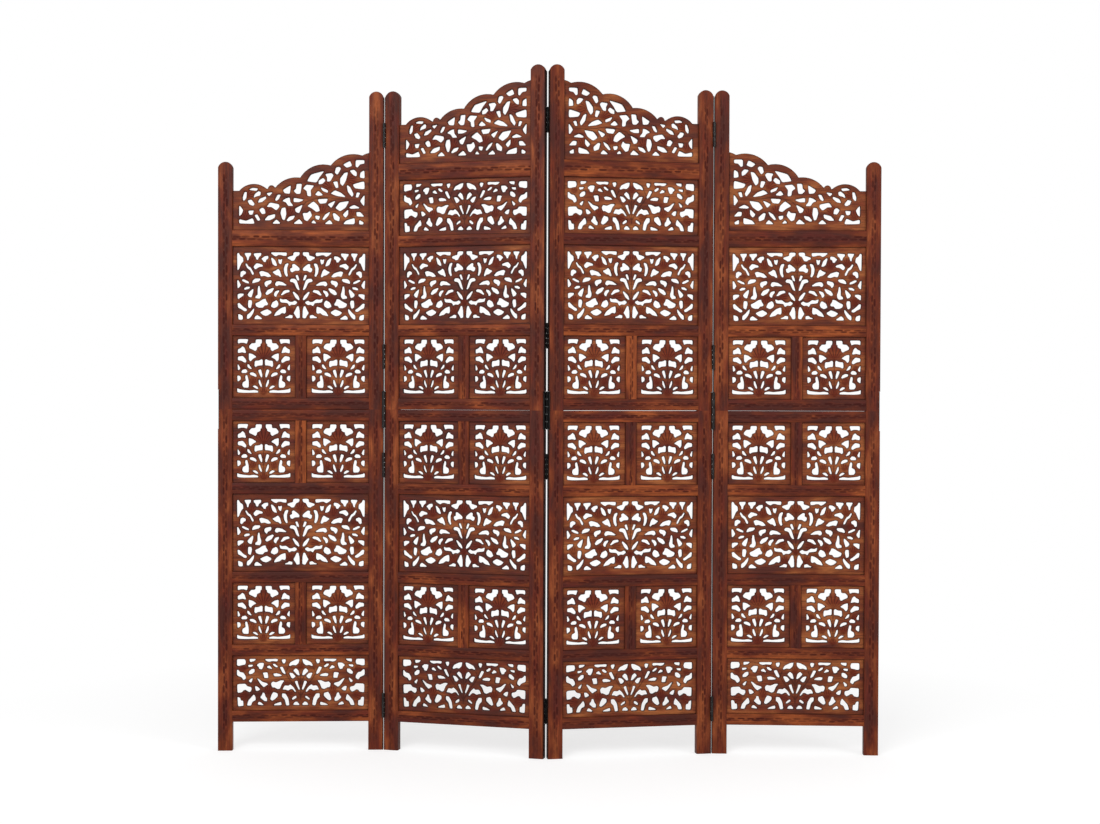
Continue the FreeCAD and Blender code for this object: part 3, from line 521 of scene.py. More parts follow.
def piece(name, shapes, leaf, material, node):
    """One object from several shapes: their points placed in the leaf, their faces, and what the wood's
    finish reads at each point. It rides on the leaf's body and stands for the node."""
    mesh = bpy.data.meshes.new(name)
    starts = np.cumsum([0] + [len(shape["points"]) for shape in shapes])
    points = leaf.placed(np.concatenate([shape["points"] for shape in shapes]))
    corners = np.concatenate([shape["corners"] + start for shape, start in zip(shapes, starts)])
    counts = np.concatenate([shape["counts"] for shape in shapes])
    mesh.vertices.add(len(points))
    mesh.vertices.foreach_set("co", points.ravel())
    mesh.loops.add(len(corners))
    mesh.loops.foreach_set("vertex_index", corners)
    mesh.polygons.add(len(counts))
    mesh.polygons.foreach_set("loop_start", np.cumsum(counts) - counts)
    mesh.update(calc_edges=True)
    for fact, kind, key in (("rim", "FLOAT", "value"), ("tone", "FLOAT", "value"),
                            ("grain", "FLOAT_VECTOR", "vector"), ("carve", "FLOAT_VECTOR", "vector")):
        values = np.concatenate([shape[fact] for shape in shapes]).astype(np.float32)
        mesh.attributes.new(fact, kind, "POINT").data.foreach_set(key, values.ravel())
    mesh.polygons.foreach_set("use_smooth", np.ones(len(counts), bool))
    mesh.set_sharp_from_angle(angle=crease_angle)
    mesh.materials.append(material)
    made = bpy.data.objects.new(name, mesh)
    bpy.context.scene.collection.objects.link(made)
    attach(made, f"leaf_{leaf.number}")
    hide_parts(node)


def add(tree, kind, inputs=None, **settings):
    """A node with its settings, and a value or another node's socket for each of its inputs."""
    made = tree.nodes.new(kind)
    for name, value in settings.items():
        setattr(made, name, value)
    for name, value in (inputs or {}).items():
        fill(tree, made.inputs[name], value)
    return made


def fill(tree, socket, value):
    """Gives an input its value, or links it to another node's socket."""
    if isinstance(value, bpy.types.NodeSocket):
        tree.links.new(value, socket)
    else:
        socket.default_value = value


def tint(red, green, blue):
    """A colour as a screen shows it, 0 to 255, in the linear values that a shader takes."""
    return tuple((v / 255) ** 2.2 for v in (red, green, blue)) + (1,)


def calc(tree, operation, first, second=0.0, third=0.0, clamp=False):
    """Arithmetic on sockets or numbers."""
    return add(tree, "ShaderNodeMath", {0: first, 1: second, 2: third}, operation=operation,
               use_clamp=clamp).outputs[0]


def blended(tree, factor, first, second):
    """Colour from first to second by factor."""
    made = add(tree, "ShaderNodeMix", data_type="RGBA")
    for name, value in (("Factor_Float", factor), ("A_Color", first), ("B_Color", second)):
        fill(tree, next(s for s in made.inputs if s.identifier == name), value)
    return next(s for s in made.outputs if s.identifier == "Result_Color")


# Noise to the metre for each layer of the wood's look, along the grain and twice across it.
PATCH_SCALES = (9, 34, 34)
BLUSH_SCALES = (13, 70, 70)
FIBRE_SCALES = (22, 520, 520)
PORE_SCALES = (110, 1500, 1500)

blush_tint = tint(112, 40, 32)
fibre_tint = tint(48, 20, 14)
pore_tint = tint(34, 13, 9)
# Painted shade near a hole, a board's edge, a carved stem and a stile's hinged edge.
rim_shade_tint = tint(36, 16, 12)
petal_tint = tint(104, 36, 20)
flute_tint = tint(48, 18, 12)
nick_tint = tint(58, 18, 13)

# The chip-carved nicks: their pitch, how far the two columns stand from their line and how far a nick
# strays from its column, half a nick's width, and the shares of the pitch where its middle is and that its
# half takes. Nicks are counted from nicks_below under the floor, and each length of wood has one of many
# seeds.
nick_pitch = 0.023
nick_spread = 0.0028
nick_stray = 0.0022
nick_half_width = 0.0028
NICK_COLUMNS = ((-1, 0.0), (1, 0.55))
NICK_MIDDLE_SHARES = (0.42, 0.58)
NICK_HALF_SHARES = (0.36, 0.52)
NICK_DEPTHS = (0.35, 1.0)
nick_steepness = 1.4
nicks_below = 100
seeds = 977.0
flutes = 19.0


def make_aged_wood():
    """The stained wood's look: three stain colours in long patches, fibres and pores along the grain,
    painted shade where rim says a point is near a sawn hole, a board's edge, a carved stem or a stile's
    hinged edge, and two staggered columns of chip-carved nicks where carve says so. A nick is the oval
    (along / half length)^4 + (across / half width)^2 < 1, and each one has its own share of the pitch, its
    own place beside the line and its own depth. Flowers have flutes that fan out from their foot."""
    group = bpy.data.node_groups.new("aged_wood", "ShaderNodeTree")
    for way, kind, names in (("INPUT", "Color", ("Pale", "Warm", "Dark")), ("OUTPUT", "Color", ("Color",)),
                             ("OUTPUT", "Float", ("Roughness", "Height"))):
        for name in names:
            group.interface.new_socket(name, in_out=way, socket_type=f"NodeSocket{kind}")
    given = group.nodes.new("NodeGroupInput").outputs
    result = group.nodes.new("NodeGroupOutput")

    def fact(name, output="Fac"):
        """What a piece's points say under this name."""
        return add(group, "ShaderNodeAttribute", attribute_name=name).outputs[output]

    def parts(vector):
        """The three numbers of a vector."""
        return add(group, "ShaderNodeSeparateXYZ", {0: vector}).outputs

    def times(first, second, clamp=False):
        return calc(group, "MULTIPLY", first, second, clamp=clamp)

    def graded(value, gain, shift, clamp=False):
        """gain * value + shift."""
        return calc(group, "MULTIPLY_ADD", value, gain, shift, clamp)

    def between(value, low_and_high):
        """From low to high as the value goes from 0 to 1."""
        low, high = low_and_high
        return graded(value, high - low, low)

    def noise(scales, detail):
        """Noise drawn out along the grain, which is the first part of its place."""
        drawn_out = add(group, "ShaderNodeMapping", {"Vector": grain, "Scale": scales}).outputs[0]
        return add(group, "ShaderNodeTexNoise", {"Vector": drawn_out, "Scale": 1.0, "Detail": detail,
                                                 "Roughness": 0.55}).outputs[0]

    grain = fact("grain", "Vector")
    tone = fact("tone")
    patches = graded(noise(PATCH_SCALES, 3.0), 3.2, -1.15)
    stain = calc(group, "ADD", patches, graded(tone, 0.7, -0.35), clamp=True)
    colour = blended(group, times(stain, 2.0, clamp=True), given["Dark"], given["Warm"])
    colour = blended(group, graded(stain, 2.0, -1.0, clamp=True), colour, given["Pale"])
    fibres = noise(FIBRE_SCALES, 3.0)
    pores = graded(noise(PORE_SCALES, 1.0), 9.0, -5.6, clamp=True)

    aside, ahead, carved = parts(fact("carve", "Vector"))
    seed = calc(group, "FLOOR", times(tone, seeds))
    nicks = 0.0
    for side, phase in NICK_COLUMNS:
        turn = graded(ahead, 1 / nick_pitch, phase + nicks_below)
        place = {"X": calc(group, "FLOOR", turn), "Y": float(side), "Z": seed}
        cell = add(group, "ShaderNodeCombineXYZ", place).outputs[0]
        dice = add(group, "ShaderNodeTexWhiteNoise", {"Vector": cell}, noise_dimensions="3D").outputs
        middle_dice, half_dice, stray_dice = parts(dice["Color"])
        nick_middle = between(middle_dice, NICK_MIDDLE_SHARES)
        along = calc(group, "SUBTRACT", calc(group, "FRACT", turn), nick_middle)
        along = calc(group, "DIVIDE", along, between(half_dice, NICK_HALF_SHARES))
        squared = times(along, along)
        line = graded(stray_dice, nick_stray, side * nick_spread - nick_stray / 2)
        beside = times(calc(group, "SUBTRACT", aside, line), 1 / nick_half_width)
        oval = calc(group, "MULTIPLY_ADD", beside, beside, times(squared, squared))
        hollow = graded(oval, -nick_steepness, nick_steepness, clamp=True)
        nick = times(hollow, between(dice["Value"], NICK_DEPTHS))
        nicks = calc(group, "MAXIMUM", nick, nicks)
    nicks = times(nicks, carved, clamp=True)
    petals = times(carved, -1.0, clamp=True)
    fan = times(calc(group, "ARCTAN2", aside, ahead), flutes)
    flute = times(graded(calc(group, "COSINE", fan), -1.1, -0.1, clamp=True), petals)

    for share, amount, paint in (
            (graded(noise(BLUSH_SCALES, 2.0), 4.0, -1.9, clamp=True), 0.4, blush_tint),
            (graded(fibres, -1.5, 1.0, clamp=True), 1.0, fibre_tint), (pores, 0.5, pore_tint),
            # painted shade: the wood darkens where rim is small, near holes, board edges, carved stems and
            # hinged stile edges
            (graded(fact("rim"), -430.0, 0.95, clamp=True), 0.9, rim_shade_tint),
            (petals, 0.55, petal_tint), (flute, 0.7, flute_tint), (nicks, 0.88, nick_tint)):
        colour = blended(group, times(share, amount), colour, paint)
    height = graded(flute, -0.8, graded(fibres, 0.12, times(nicks, -1.0)))
    fill(group, result.inputs["Color"], colour)
    fill(group, result.inputs["Roughness"], graded(nicks, 0.2, graded(fibres, 0.25, 0.36), clamp=True))
    fill(group, result.inputs["Height"], graded(pores, -0.08, height))
    return group


aged_wood = make_aged_wood()


def new_finish(name):
    """An empty finish and its nodes."""
    material = bpy.data.materials.new(name)
    material.use_nodes = True
    material.node_tree.nodes.clear()
    return material, material.node_tree


carving_depth = 0.0012
carving_strength = 0.7
wax_shine = 0.13


def wood(name, pale, warm, dark):
    """A wood finish: the shared wood with its own three stain colours."""
    material, tree = new_finish(name)
    look = add(tree, "ShaderNodeGroup", node_tree=aged_wood)
    for key, value in (("Pale", pale), ("Warm", warm), ("Dark", dark)):
        look.inputs[key].default_value = value
    bump = add(tree, "ShaderNodeBump", {"Height": look.outputs["Height"], "Distance": carving_depth,
                                        "Strength": carving_strength})
    shader = add(tree, "ShaderNodeBsdfPrincipled", {"Base Color": look.outputs["Color"],
                                                    "Roughness": look.outputs["Roughness"],
                                                    "Normal": bump.outputs["Normal"],
                                                    "Specular IOR Level": wax_shine})
    add(tree, "ShaderNodeOutputMaterial", {"Surface": shader.outputs[0]})
    return material


board_wood = wood("board_wood", tint(161, 95, 55), tint(120, 62, 38), tint(86, 46, 38))
# The boards of the second leaf took more stain than the others.
BOARD_TONES = {1: 0.48, 2: 0.28, 3: 0.60, 4: 0.62}
patterns = {}
for kind, sheet, text, width in (("square", SQUARE_SHEET, SQUARE_HOLES, square_width),
                                 ("tall", TALL_SHEET, TALL_HOLES, opening_width),
                                 ("low", LOW_SHEET, LOW_HOLES, opening_width)):
    patterns[kind] = pierced_board(kind, width, BAY_HEIGHTS[kind], *field_pattern(kind, sheet, text, width),
                                   inner_margin=muntin_easing if kind == "square" else 0.0)
crest = pierced_board("crest", opening_width, crest_height, *crest_pattern(), crest_outline())

# The signs and the shift across that set a board in its leaf.
AS_DRAWN = ((1, 1, 1), stile_width)
MIRRORED = ((-1, 1, 1), leaf_width - stile_width)
for number, leaf in leaves.items():
    upper_rails, upper_bays = upper_layout[number]
    for kind, pattern in patterns.items():
        sides = (AS_DRAWN, MIRRORED) if kind == "square" else (AS_DRAWN,)
        shapes = [own_wood(turned(pattern, signs, (across, 0, bottom)), BOARD_TONES[number])
                  for bay, bottom in lower_bays + upper_bays if bay == kind for signs, across in sides]
        piece(f"leaf_{number}_{kind}_fretwork", shapes, leaf, board_wood,
              f"leaf_{number}_{kind}_boards")
    signs, across = MIRRORED if number in (3, 4) else AS_DRAWN
    top = turned(crest, signs, (across, 0, upper_rails[-1][1]))
    piece(f"leaf_{number}_crest_fretwork", [own_wood(top, BOARD_TONES[number])], leaf, board_wood,
          f"leaf_{number}_crest_board")


# The stiles: sawn posts with rounded edges and a round top, each in two lengths that meet at the split. A
# row of chip-carved nicks runs down the middle of both faces, and the outer edge is let in for the hinge
# plates.

stile_depth = 0.022
stile_round = 0.0026
hinged_round = 0.0014
edge_fullness = 0.0013
# How far in from the hinged edge the painted shade reaches.
dark_edge = 0.0004
stile_crown = 0.0006
groove_depth = 0.007
groove_width = 0.009
dome_rise = 0.013
dome_seat = 0.002
dome_droop = 0.0022
DOME_SHARES = (1.0, 0.96, 0.88, 0.74, 0.54, 0.3, 0.08)
plain_top = 0.03
plain_foot = 0.004
stile_tone = 0.45

# How far up and down the heavy hinge and the joining plates are let in at the split, and the ordinary
# hinges. A step in a post takes two rings, this little below and above it.
notch_reach = 0.0475
hinge_notch_reach = 0.0453
notch_depth = 0.0025
recess_depth = 0.0017
recess_reach = 0.016
recess_half = 0.030
step = 0.00005
ring_spacing = 0.08

# Middles of the ordinary hinges: from the floor, below the split, above the split, below the stile tops.
# The barrels are at the front of seams 1 and 3 and at the back of seam 2.
HINGE_PLACES = {1: (0.110, 0.135, 0.129, 0.108), 2: (0.110, 0.135, 0.179, 0.129),
                3: (0.110, 0.135, 0.129, 0.108)}
SEAM_SIDES = {1: -1, 2: 1, 3: -1}
SEAM_HINGES = {}
for seam, (low_rise, lower_drop, upper_rise, top_drop) in HINGE_PLACES.items():
    stile_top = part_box(f"leaf_{seam}_right_stile_upper")[1].z
    SEAM_HINGES[seam] = (low_rise, split_height - lower_drop, split_height + upper_rise,
                         stile_top - top_drop)


def quarter(centre, radii, start, steps=4):
    """A quarter of a circle, from the start angle on."""
    turn = start + np.linspace(0, pi / 2, steps + 1)
    return np.stack([centre[0] + radii * np.cos(turn), centre[1] + radii * np.sin(turn)], 1)


def lofted(rings):
    """Points, corners and counts of a skin over closed rings that follow one another, flat at each end."""
    count, around = rings.shape[:2]
    index = np.arange(count * around).reshape(count, around)
    after = np.roll(index, -1, axis=1)
    quads = np.stack([index[:-1], after[:-1], after[1:], index[1:]], 2).reshape(-1, 4)
    corners = np.concatenate([quads.ravel(), index[0][::-1], index[-1]])
    return rings.reshape(-1, 3), corners, np.concatenate([np.full(len(quads), 4), [around, around]])


def straight_rings(base, heights):
    """The same outline at each of the heights."""
    rings = np.zeros((len(heights), len(base), 3))
    rings[:, :, :2] = base
    rings[:, :, 2] = np.array(heights)[:, None]
    return rings


def stile_profile():
    """Outline of a stile from above, from the hinged edge at 0: rounded corners, a groove in the other
    edge."""
    half = stile_depth / 2
    inner = half - stile_round
    tight = half - hinged_round
    right = stile_width - stile_round
    ways = np.linspace(hinged_round, right, 7)[1:-1]
    hollow = groove_width / 2
    lane = recess_reach - half
    front = np.stack([ways, np.full(len(ways), -half)], 1)
    return np.concatenate([
        quarter((hinged_round, -tight), hinged_round, pi), front,
        quarter((right, -inner), stile_round, 1.5 * pi),
        [(stile_width, -hollow - step), (stile_width, -hollow),
         (stile_width, hollow), (stile_width, hollow + step)],
        quarter((right, inner), stile_round, 0), front[::-1] * (1, -1),
        quarter((hinged_round, tight), hinged_round, pi / 2),
        [(0, lane + step), (0, lane - step), (0, -lane + step), (0, -lane - step)]])


def dome_rings(base, top):
    """The rings over a post's round top shrink to its middle, at the height top - radius + sqrt(radius^2 -
    across^2), less dome_droop (deep / half the depth)^4."""
    middle = stile_width / 2
    shares = np.array(DOME_SHARES)[:, None]
    across, deep = (base[:, 0] - middle) * shares, base[:, 1] * shares
    radius = (middle ** 2 + dome_rise ** 2) / (2 * dome_rise)
    arc = top - radius + np.sqrt(np.maximum(radius ** 2 - across ** 2, 0))
    return np.stack([middle + across, deep, arc - dome_droop * (2 * deep / stile_depth) ** 4], 2)


def stile_length(bottom, top, domed, groove_top, recesses, barrel_side):
    """A post as rings of its profile: each ring is pulled in where the groove, a recess or the notch is. An
    edge with hinges is a little fuller, so that the seam closes to a thin line, and has painted shade on it."""
    base = stile_profile()
    if recesses:
        base[:, 0] -= np.where(base[:, 0] < hinged_round + step, edge_fullness, 0)
    middle, half = stile_width / 2, stile_depth / 2
    shoulder = top - dome_rise - dome_seat if domed else top
    groove_bottom = bottom if domed else foot_height
    reach = hinge_notch_reach if recesses else notch_reach
    marks = [bottom, shoulder, *np.arange(bottom, shoulder, ring_spacing)[1:]]
    for height in [groove_bottom, groove_top, bottom + reach if domed else top - reach,
                   *(h + away for h in recesses for away in (-recess_half, recess_half))]:
        if bottom + 2 * step < height < shoulder - 2 * step:
            marks += [height - step, height + step]
    rings = straight_rings(base, sorted(set(marks)))
    across, deep, level = rings[:, :, 0], rings[:, :, 1], rings[:, :, 2]
    crown = stile_crown * ((across - middle) / middle) ** 2
    deep -= np.where(np.abs(deep) > half - step, np.sign(deep) * crown, 0)
    grooved = (level > groove_bottom) & (level < groove_top) & (across > middle)
    across -= np.where(grooved & (np.abs(deep) < (groove_width + step) / 2), groove_depth, 0)
    notched = (level < bottom + reach) if domed else (level > top - reach)
    across[:] = np.where(notched, np.maximum(across, notch_depth), across)
    for height in recesses:
        let_in = (np.abs(level - height) < recess_half) & (deep * barrel_side > half - recess_reach)
        across[:] = np.where(let_in, np.maximum(across, recess_depth), across)
    points, corners, counts = lofted(np.concatenate([rings, dome_rings(base, top)]) if domed else rings)
    x, y, z = points.T
    faced = (np.abs(y) > half - stile_round) & (z < top - plain_top) & (z > bottom + plain_foot)
    # Painted shade on the hinged edge: its points get a rim of 0, which is the darkest rim shade.
    shaded = (x < dark_edge) & bool(recesses)
    return shape_of(points, corners, counts, np.where(shaded, 0, no_rim), (2, 0, 1),
                    np.stack([x - middle, z, faced], 1))


stile_wood = wood("stile_wood", tint(149, 79, 45), tint(108, 50, 30), tint(78, 40, 33))
for number, leaf in leaves.items():
    crest_foot = upper_layout[number][0][-1][1]
    for side, seam in (("left", number - 1), ("right", number)):
        high = (side == "right") == (number in (1, 2))
        groove_top = crest_foot + crest_height * (1 if high else crest_shoulder_share)
        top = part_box(f"leaf_{number}_{side}_stile_upper")[1].z
        hinges = SEAM_HINGES.get(seam, ())
        barrel = SEAM_SIDES.get(seam, -1) * (1 if side == "left" else -1)
        for part, shape in (
                ("lower", stile_length(0.0, split_height, False, split_height + 1,
                                       [h for h in hinges if h < split_height], barrel)),
                ("upper", stile_length(split_height, top, True, groove_top,
                                       [h for h in hinges if h > split_height], barrel))):
            if side == "right":
                shape = turned(shape, (-1, -1, 1), (leaf_width, 0, 0))
            piece(f"leaf_{number}_{side}_post_{part}", [own_wood(shape, stile_tone)], leaf, stile_wood,
                  f"leaf_{number}_{side}_stile_{part}")


# The rails and muntins: flat bars with softened edges that butt against the stiles and hold the boards.
# Nicks run along their middles, in a broader row on the wide rail under each crest.

rail_depth = 0.020
muntin_setback = 0.0004
rail_round = 0.0022
butt_overlap = 0.0006
narrow_row = 1.25


def bar(start, end, width, depth, row_share=narrow_row):
    """A straight bar with rounded edges: across, along and deep measures, along its own middle line. Its
    nicks take 1 / row_share of the width that they take on a stile."""
    across_in, deep_in = width / 2 - rail_round, depth / 2 - rail_round
    base = np.concatenate([
        quarter((-across_in, -deep_in), rail_round, pi, 3), [(0, -depth / 2)],
        quarter((across_in, -deep_in), rail_round, 1.5 * pi, 3),
        quarter((across_in, deep_in), rail_round, 0, 3), [(0, depth / 2)],
        quarter((-across_in, deep_in), rail_round, pi / 2, 3)])
    points, corners, counts = lofted(straight_rings(base, [*np.arange(start, end, ring_spacing), end]))
    x, y, z = points.T
    return shape_of(points, corners, counts, grain=(2, 0, 1),
                    carve=np.stack([x * row_share, z, np.abs(y) > deep_in], 1))


# How far the two rails beside the split reach towards each other: the halves don't meet as well on every
# leaf.
MEETING_REACHES = {1: 0.00095, 2: 0.00075, 3: 0.0005, 4: 0.0007}

rail_wood = wood("rail_wood", tint(153, 79, 42), tint(104, 48, 29), tint(75, 38, 32))
for number, leaf in leaves.items():
    upper_rails, upper_bays = upper_layout[number]
    for part, rails in (("lower", lower_rails), ("upper", upper_rails)):
        shapes = []
        for bottom, top in rails:
            wide = top - bottom > rail_height + step
            if abs(top + split_setback - split_height) < step:
                top += MEETING_REACHES[number]
            if abs(bottom - split_setback - split_height) < step:
                bottom -= MEETING_REACHES[number]
            level = bar(stile_width - butt_overlap, leaf_width - stile_width + butt_overlap, top - bottom,
                        rail_depth, 1 if wide else narrow_row)
            shapes.append(own_wood(turned(level, shift=(0, 0, (bottom + top) / 2), order=(2, 1, 0))))
        piece(f"leaf_{number}_cross_rails_{part}", shapes, leaf, rail_wood,
              f"leaf_{number}_rails_{part}")
    shapes = []
    for kind, bottom in lower_bays + upper_bays:
        if kind == "square":
            upright = bar(bottom - butt_overlap, bottom + BAY_HEIGHTS["square"] + butt_overlap,
                          muntin_width - 2 * muntin_easing, rail_depth - muntin_setback)
            shapes.append(own_wood(turned(upright, shift=(leaf_width / 2, 0, 0))))
    piece(f"leaf_{number}_middle_uprights", shapes, leaf, rail_wood, f"leaf_{number}_muntins")


# The hinges: black iron butts with their plates let into the stiles. The left plate's knuckles hold the pin
# and the right plate's turn on it. A longer and heavier one ties the two halves together at the split.

seam_gap = 0.003
axis_standoff = 0.0043
plate_start = 0.00387
heavy_length = 0.090
plate_round = 0.00035
knuckles = 5
knuckle_gap = 0.0003
middle_gap = 0.0002
knuckle_ease = 0.0004
knuckle_end_share = 0.86
SCREW_SHARES = (-0.36, 0.0, 0.36)
screw_stagger = 0.0022
screw_radius = 0.0032
slot_half = 0.0007
slot_depth = 0.0007
slot_share = 0.9
screw_sides = 24

# One end of the pin, from outside in: share of its radius, and how far beyond the barrel.
pin_radius = 0.0015
PIN_END = ((0.7, 0.0009), (1.4, 0.0004), (1.4, -0.0010), (1.0, -0.0012))

# A screw's head from its edge to its middle: share of its radius, and rise above the plate.
SCREW_DOME = ((1.0, -0.0004), (0.98, 0.0001), (0.85, 0.00035), (0.6, 0.0005), (0.3, 0.0006), (0.05, 0.0006))


def turned_bar(profile, sides=20):
    """A shape turned on an upright axis: radius and height of each ring, from the bottom up."""
    turn = np.arange(sides) * 2 * pi / sides
    radius, height = np.array(profile, float).T[:, :, None]
    return shape_of(*lofted(np.stack([radius * np.cos(turn), radius * np.sin(turn),
                                      np.repeat(height, sides, 1)], 2)))


def plate_shape(low, high):
    """A flat plate between two corners, its upright edges rounded and its ends eased."""
    low, high = np.array(low), np.array(high)
    middle, size = (low + high) / 2, high - low
    outline = np.concatenate([
        quarter((sx * (size[0] / 2 - plate_round), sy * (size[1] / 2 - plate_round)), plate_round, start, 2)
        for sx, sy, start in ((-1, -1, pi), (1, -1, 1.5 * pi), (1, 1, 0), (-1, 1, pi / 2))])
    heights = np.array([0, plate_round, size[2] - plate_round, size[2]]) - size[2] / 2
    rings = straight_rings(outline, heights)
    rings[(0, -1), :, :2] *= 1 - 2 * plate_round / size[:2]
    return shape_of(*lofted(rings + middle))


def screw_head(centre, facing):
    """A slotted head sunk in the plate: a shallow dome seen along the across direction, with a slot."""
    share, rise = np.array(SCREW_DOME).T[:, :, None]
    turn = np.arange(screw_sides) * 2 * pi / screw_sides
    along, up = share * screw_radius * np.cos(turn), share * screw_radius * np.sin(turn)
    out = rise - np.where((np.abs(along) < slot_half) & (share < slot_share), slot_depth, 0)
    return turned(shape_of(*lofted(np.stack([out, along, up], 2))), (facing, 1, 1), centre)


def hinge_side(length, thickness, left):
    """One plate of a hinge on the -X side of its barrel, the stile towards +Y: plate, knuckles, and the pin
    with the left plate."""
    flat = seam_gap / 2 + thickness
    inner = -flat + thickness
    half = length / 2
    pitch = length / knuckles
    shapes = [plate_shape((-flat, plate_start, -half), (inner, axis_standoff + recess_reach, half))]
    for index in range(0 if left else 1, knuckles, 2):
        low = -half + index * pitch + knuckle_gap
        high = low + pitch - 2 * knuckle_gap
        if left and index == 2:
            low, high = low + middle_gap, high - middle_gap
        eased_low, eased_high = low + knuckle_ease, high - knuckle_ease
        end = flat * knuckle_end_share
        shapes.append(turned_bar([(end, low), (flat, eased_low), (flat, eased_high), (end, high)]))
        shapes.append(plate_shape((-flat, 0, eased_low), (inner, axis_standoff, eased_high)))
    if left:
        pin_end = np.array(PIN_END) * (pin_radius, 1)
        shapes.append(turned_bar([*(pin_end * (1, -1) - (0, half)), *(pin_end[::-1] + (0, half))], 14))
    for share in SCREW_SHARES:
        shift = -screw_stagger if share else screw_stagger
        shapes.append(screw_head((inner, axis_standoff + recess_reach / 2 + shift, share * length), 1))
    return shapes


def make_iron():
    """Black iron: a dull, slightly pitted coat, paler where it is rubbed."""
    material, tree = new_finish("black_iron")
    place = add(tree, "ShaderNodeTexCoord").outputs["Object"]
    pits = add(tree, "ShaderNodeTexNoise", {"Vector": place, "Scale": 900.0, "Detail": 3.0}).outputs[0]
    rubbed = add(tree, "ShaderNodeTexNoise", {"Vector": place, "Scale": 110.0, "Detail": 2.0}).outputs[0]
    rubbed = calc(tree, "MULTIPLY_ADD", rubbed, 2.5, -1.1, clamp=True)
    bump = add(tree, "ShaderNodeBump", {"Height": pits, "Distance": 0.0004, "Strength": 0.4})
    shader = add(tree, "ShaderNodeBsdfPrincipled", {
        "Base Color": blended(tree, rubbed, tint(22, 20, 20), tint(52, 48, 46)),
        "Roughness": calc(tree, "MULTIPLY_ADD", pits, 0.35, 0.28), "Metallic": 0.4,
        "Normal": bump.outputs["Normal"]})
    add(tree, "ShaderNodeOutputMaterial", {"Surface": shader.outputs[0]})
    return material


black_iron = make_iron()
for seam, heights in SEAM_HINGES.items():
    behind = SEAM_SIDES[seam]
    axis_back = behind * (stile_depth / 2 + axis_standoff)
    hinges = [(height, 2 * recess_half, recess_depth) for height in heights]
    hinges.append((split_height, heavy_length, notch_depth))
    # The right plate is the left one's mirror image, and a barrel at the back is turned over front to back.
    for side, number, facing, axis in (("left", seam, 1, leaf_width + seam_gap / 2),
                                       ("right", seam + 1, -1, -seam_gap / 2)):
        shapes = [turned(shape, (facing, -behind, 1), (axis, axis_back, height))
                  for height, length, thickness in hinges
                  for shape in hinge_side(length, thickness, side == "left")]
        piece(f"seam_{seam}_{side}_hinges", shapes, leaves[number], black_iron,
              f"seam_{seam}_{side}_plates")


# The joining plates: one on each outer edge of the screen, let in across the split and held by four screws.
# They are flat black iron, a little shorter than the notch that they lie in.

edge_plate_thickness = 0.0016
edge_plate_width = 0.016
edge_plate_half = notch_reach - 0.0006
EDGE_SCREW_RISES = (-0.036, -0.014, 0.014, 0.036)
plate_face = notch_depth - edge_plate_thickness
for side, number in (("left", 1), ("right", 4)):
    shapes = [plate_shape((plate_face, -edge_plate_width / 2, split_height - edge_plate_half),
                          (notch_depth, edge_plate_width / 2, split_height + edge_plate_half))]
    shapes += [screw_head((plate_face, 0, split_height + rise), -1) for rise in EDGE_SCREW_RISES]
    if side == "right":
        shapes = [turned(shape, (-1, -1, 1), (leaf_width, 0, 0)) for shape in shapes]
    piece(f"joining_plate_{side}", shapes, leaves[number], black_iron, f"edge_plate_{side}")


# The floor, the light and the camera: a pale studio with soft light from all round and a broad lamp in
# front. The floor keeps the screen's shadow near it and is white to the camera farther out.

floor_reach = 30.0
fade_reach = 0.7
floor_grey = (0.82, 0.82, 0.82, 1)
seen_grey = (0.48, 0.48, 0.48, 1)
seen_glow = 0.60
white = (1, 1, 1, 1)


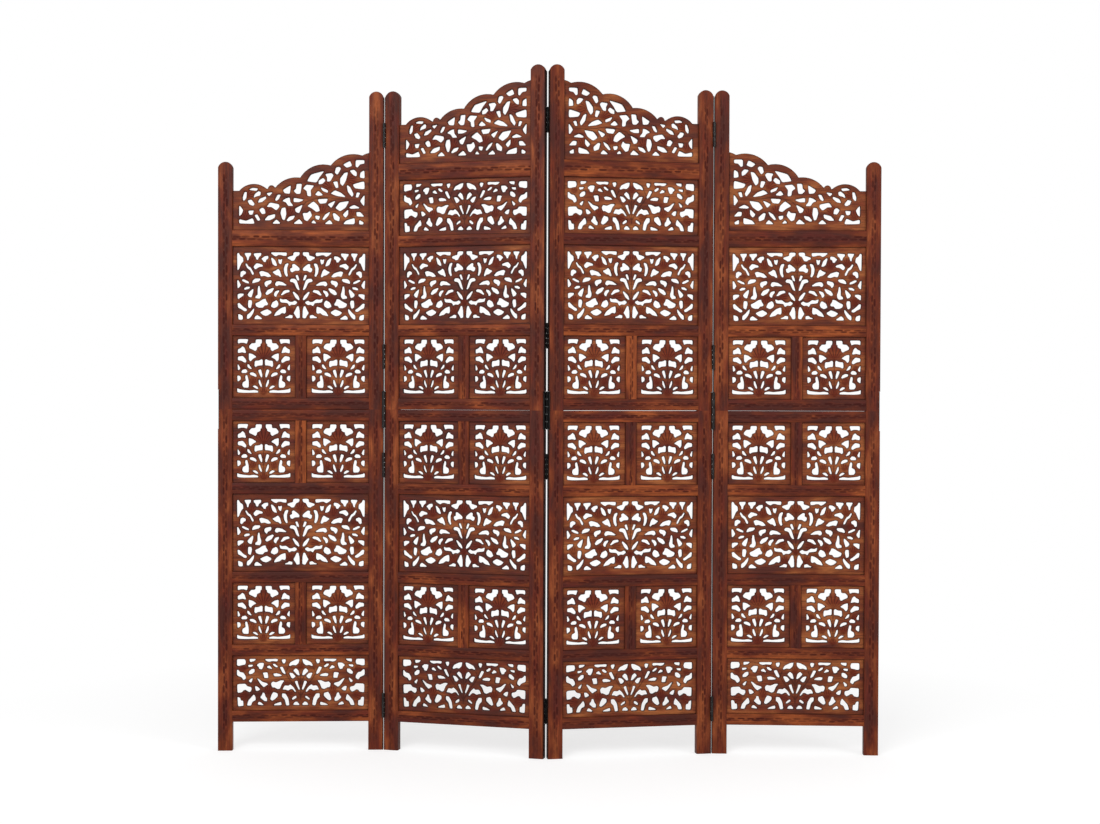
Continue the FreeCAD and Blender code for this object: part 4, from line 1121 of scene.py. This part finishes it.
def make_floor():
    """A wide pale floor. Seen by the camera it is darker and glows, which thins the shadow, and it turns to
    plain white as (distance from the middle - fade_reach) / fade_reach goes from 0 to 1."""
    corners = [(sx * floor_reach, sy * floor_reach, 0) for sx, sy in ((-1, -1), (1, -1), (1, 1), (-1, 1))]
    mesh = bpy.data.meshes.new("floor")
    mesh.from_pydata(corners, [], [(0, 1, 2, 3)])
    floor = bpy.data.objects.new("floor", mesh)
    bpy.context.scene.collection.objects.link(floor)
    material, tree = new_finish("pale_floor")
    rays = add(tree, "ShaderNodeLightPath").outputs
    seen = calc(tree, "MAXIMUM", rays["Is Camera Ray"], rays["Is Glossy Ray"])
    matt = add(tree, "ShaderNodeBsdfDiffuse", {"Color": blended(tree, seen, floor_grey, seen_grey)})
    glow = add(tree, "ShaderNodeEmission", {"Color": white,
                                            "Strength": calc(tree, "MULTIPLY", seen, seen_glow)})
    near = add(tree, "ShaderNodeAddShader", {0: matt.outputs[0], 1: glow.outputs[0]})
    plain = add(tree, "ShaderNodeEmission", {"Color": white, "Strength": 1.0})
    place = add(tree, "ShaderNodeTexCoord").outputs["Object"]
    distance = add(tree, "ShaderNodeVectorMath", {0: place}, operation="LENGTH").outputs["Value"]
    far = calc(tree, "MULTIPLY_ADD", distance, 1 / fade_reach, -1.0 / fade_reach, clamp=True)
    both = add(tree, "ShaderNodeMixShader", {0: calc(tree, "MULTIPLY", far, seen), 1: near.outputs[0],
                                             2: plain.outputs[0]})
    add(tree, "ShaderNodeOutputMaterial", {"Surface": both.outputs[0]})
    mesh.materials.append(material)
    floor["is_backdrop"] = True


make_floor()

around_strength = 0.62
world = bpy.data.worlds.new("studio")
bpy.context.scene.world = world
world.use_nodes = True
sky = world.node_tree
sky.nodes.clear()
rays = add(sky, "ShaderNodeLightPath").outputs
seen = calc(sky, "MAXIMUM", rays["Is Camera Ray"], rays["Is Transmission Ray"])
strength = calc(sky, "MULTIPLY_ADD", seen, 1 - around_strength, around_strength)
backdrop = add(sky, "ShaderNodeBackground", {"Color": white, "Strength": strength})
add(sky, "ShaderNodeOutputWorld", {"Surface": backdrop.outputs[0]})


def lamp(name, place, size, energy, target=(0, 0, 0.8)):
    """A broad square lamp that faces its target."""
    light = bpy.data.lights.new(name, "AREA")
    light.size = size
    light.energy = energy
    holder = bpy.data.objects.new(name, light)
    holder.location = place
    holder.rotation_euler = (Vector(target) - Vector(place)).to_track_quat("-Z", "Y").to_euler()
    bpy.context.scene.collection.objects.link(holder)


lamp("front_lamp", (-1.6, -4.2, 3.0), 2.4, 120)
lamp("side_lamp", (3.0, -2.6, 2.2), 1.8, 40)

image_width = 1100
focal_pixels = 1600
sensor_width = 36
tilt_down = 0.0143
camera_data = bpy.data.cameras.new("camera")
camera_data.sensor_fit = "HORIZONTAL"
camera_data.sensor_width = sensor_width
camera_data.lens = sensor_width * focal_pixels / image_width
camera = bpy.data.objects.new("camera", camera_data)
camera.location = (0.0318, -3.8663, 0.8841)
camera.rotation_euler = (pi / 2 - tilt_down, -0.0031, 0.0068)
bpy.context.scene.collection.objects.link(camera)
bpy.context.scene.camera = camera
bpy.context.scene.view_settings.view_transform = "Standard"

low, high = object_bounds()
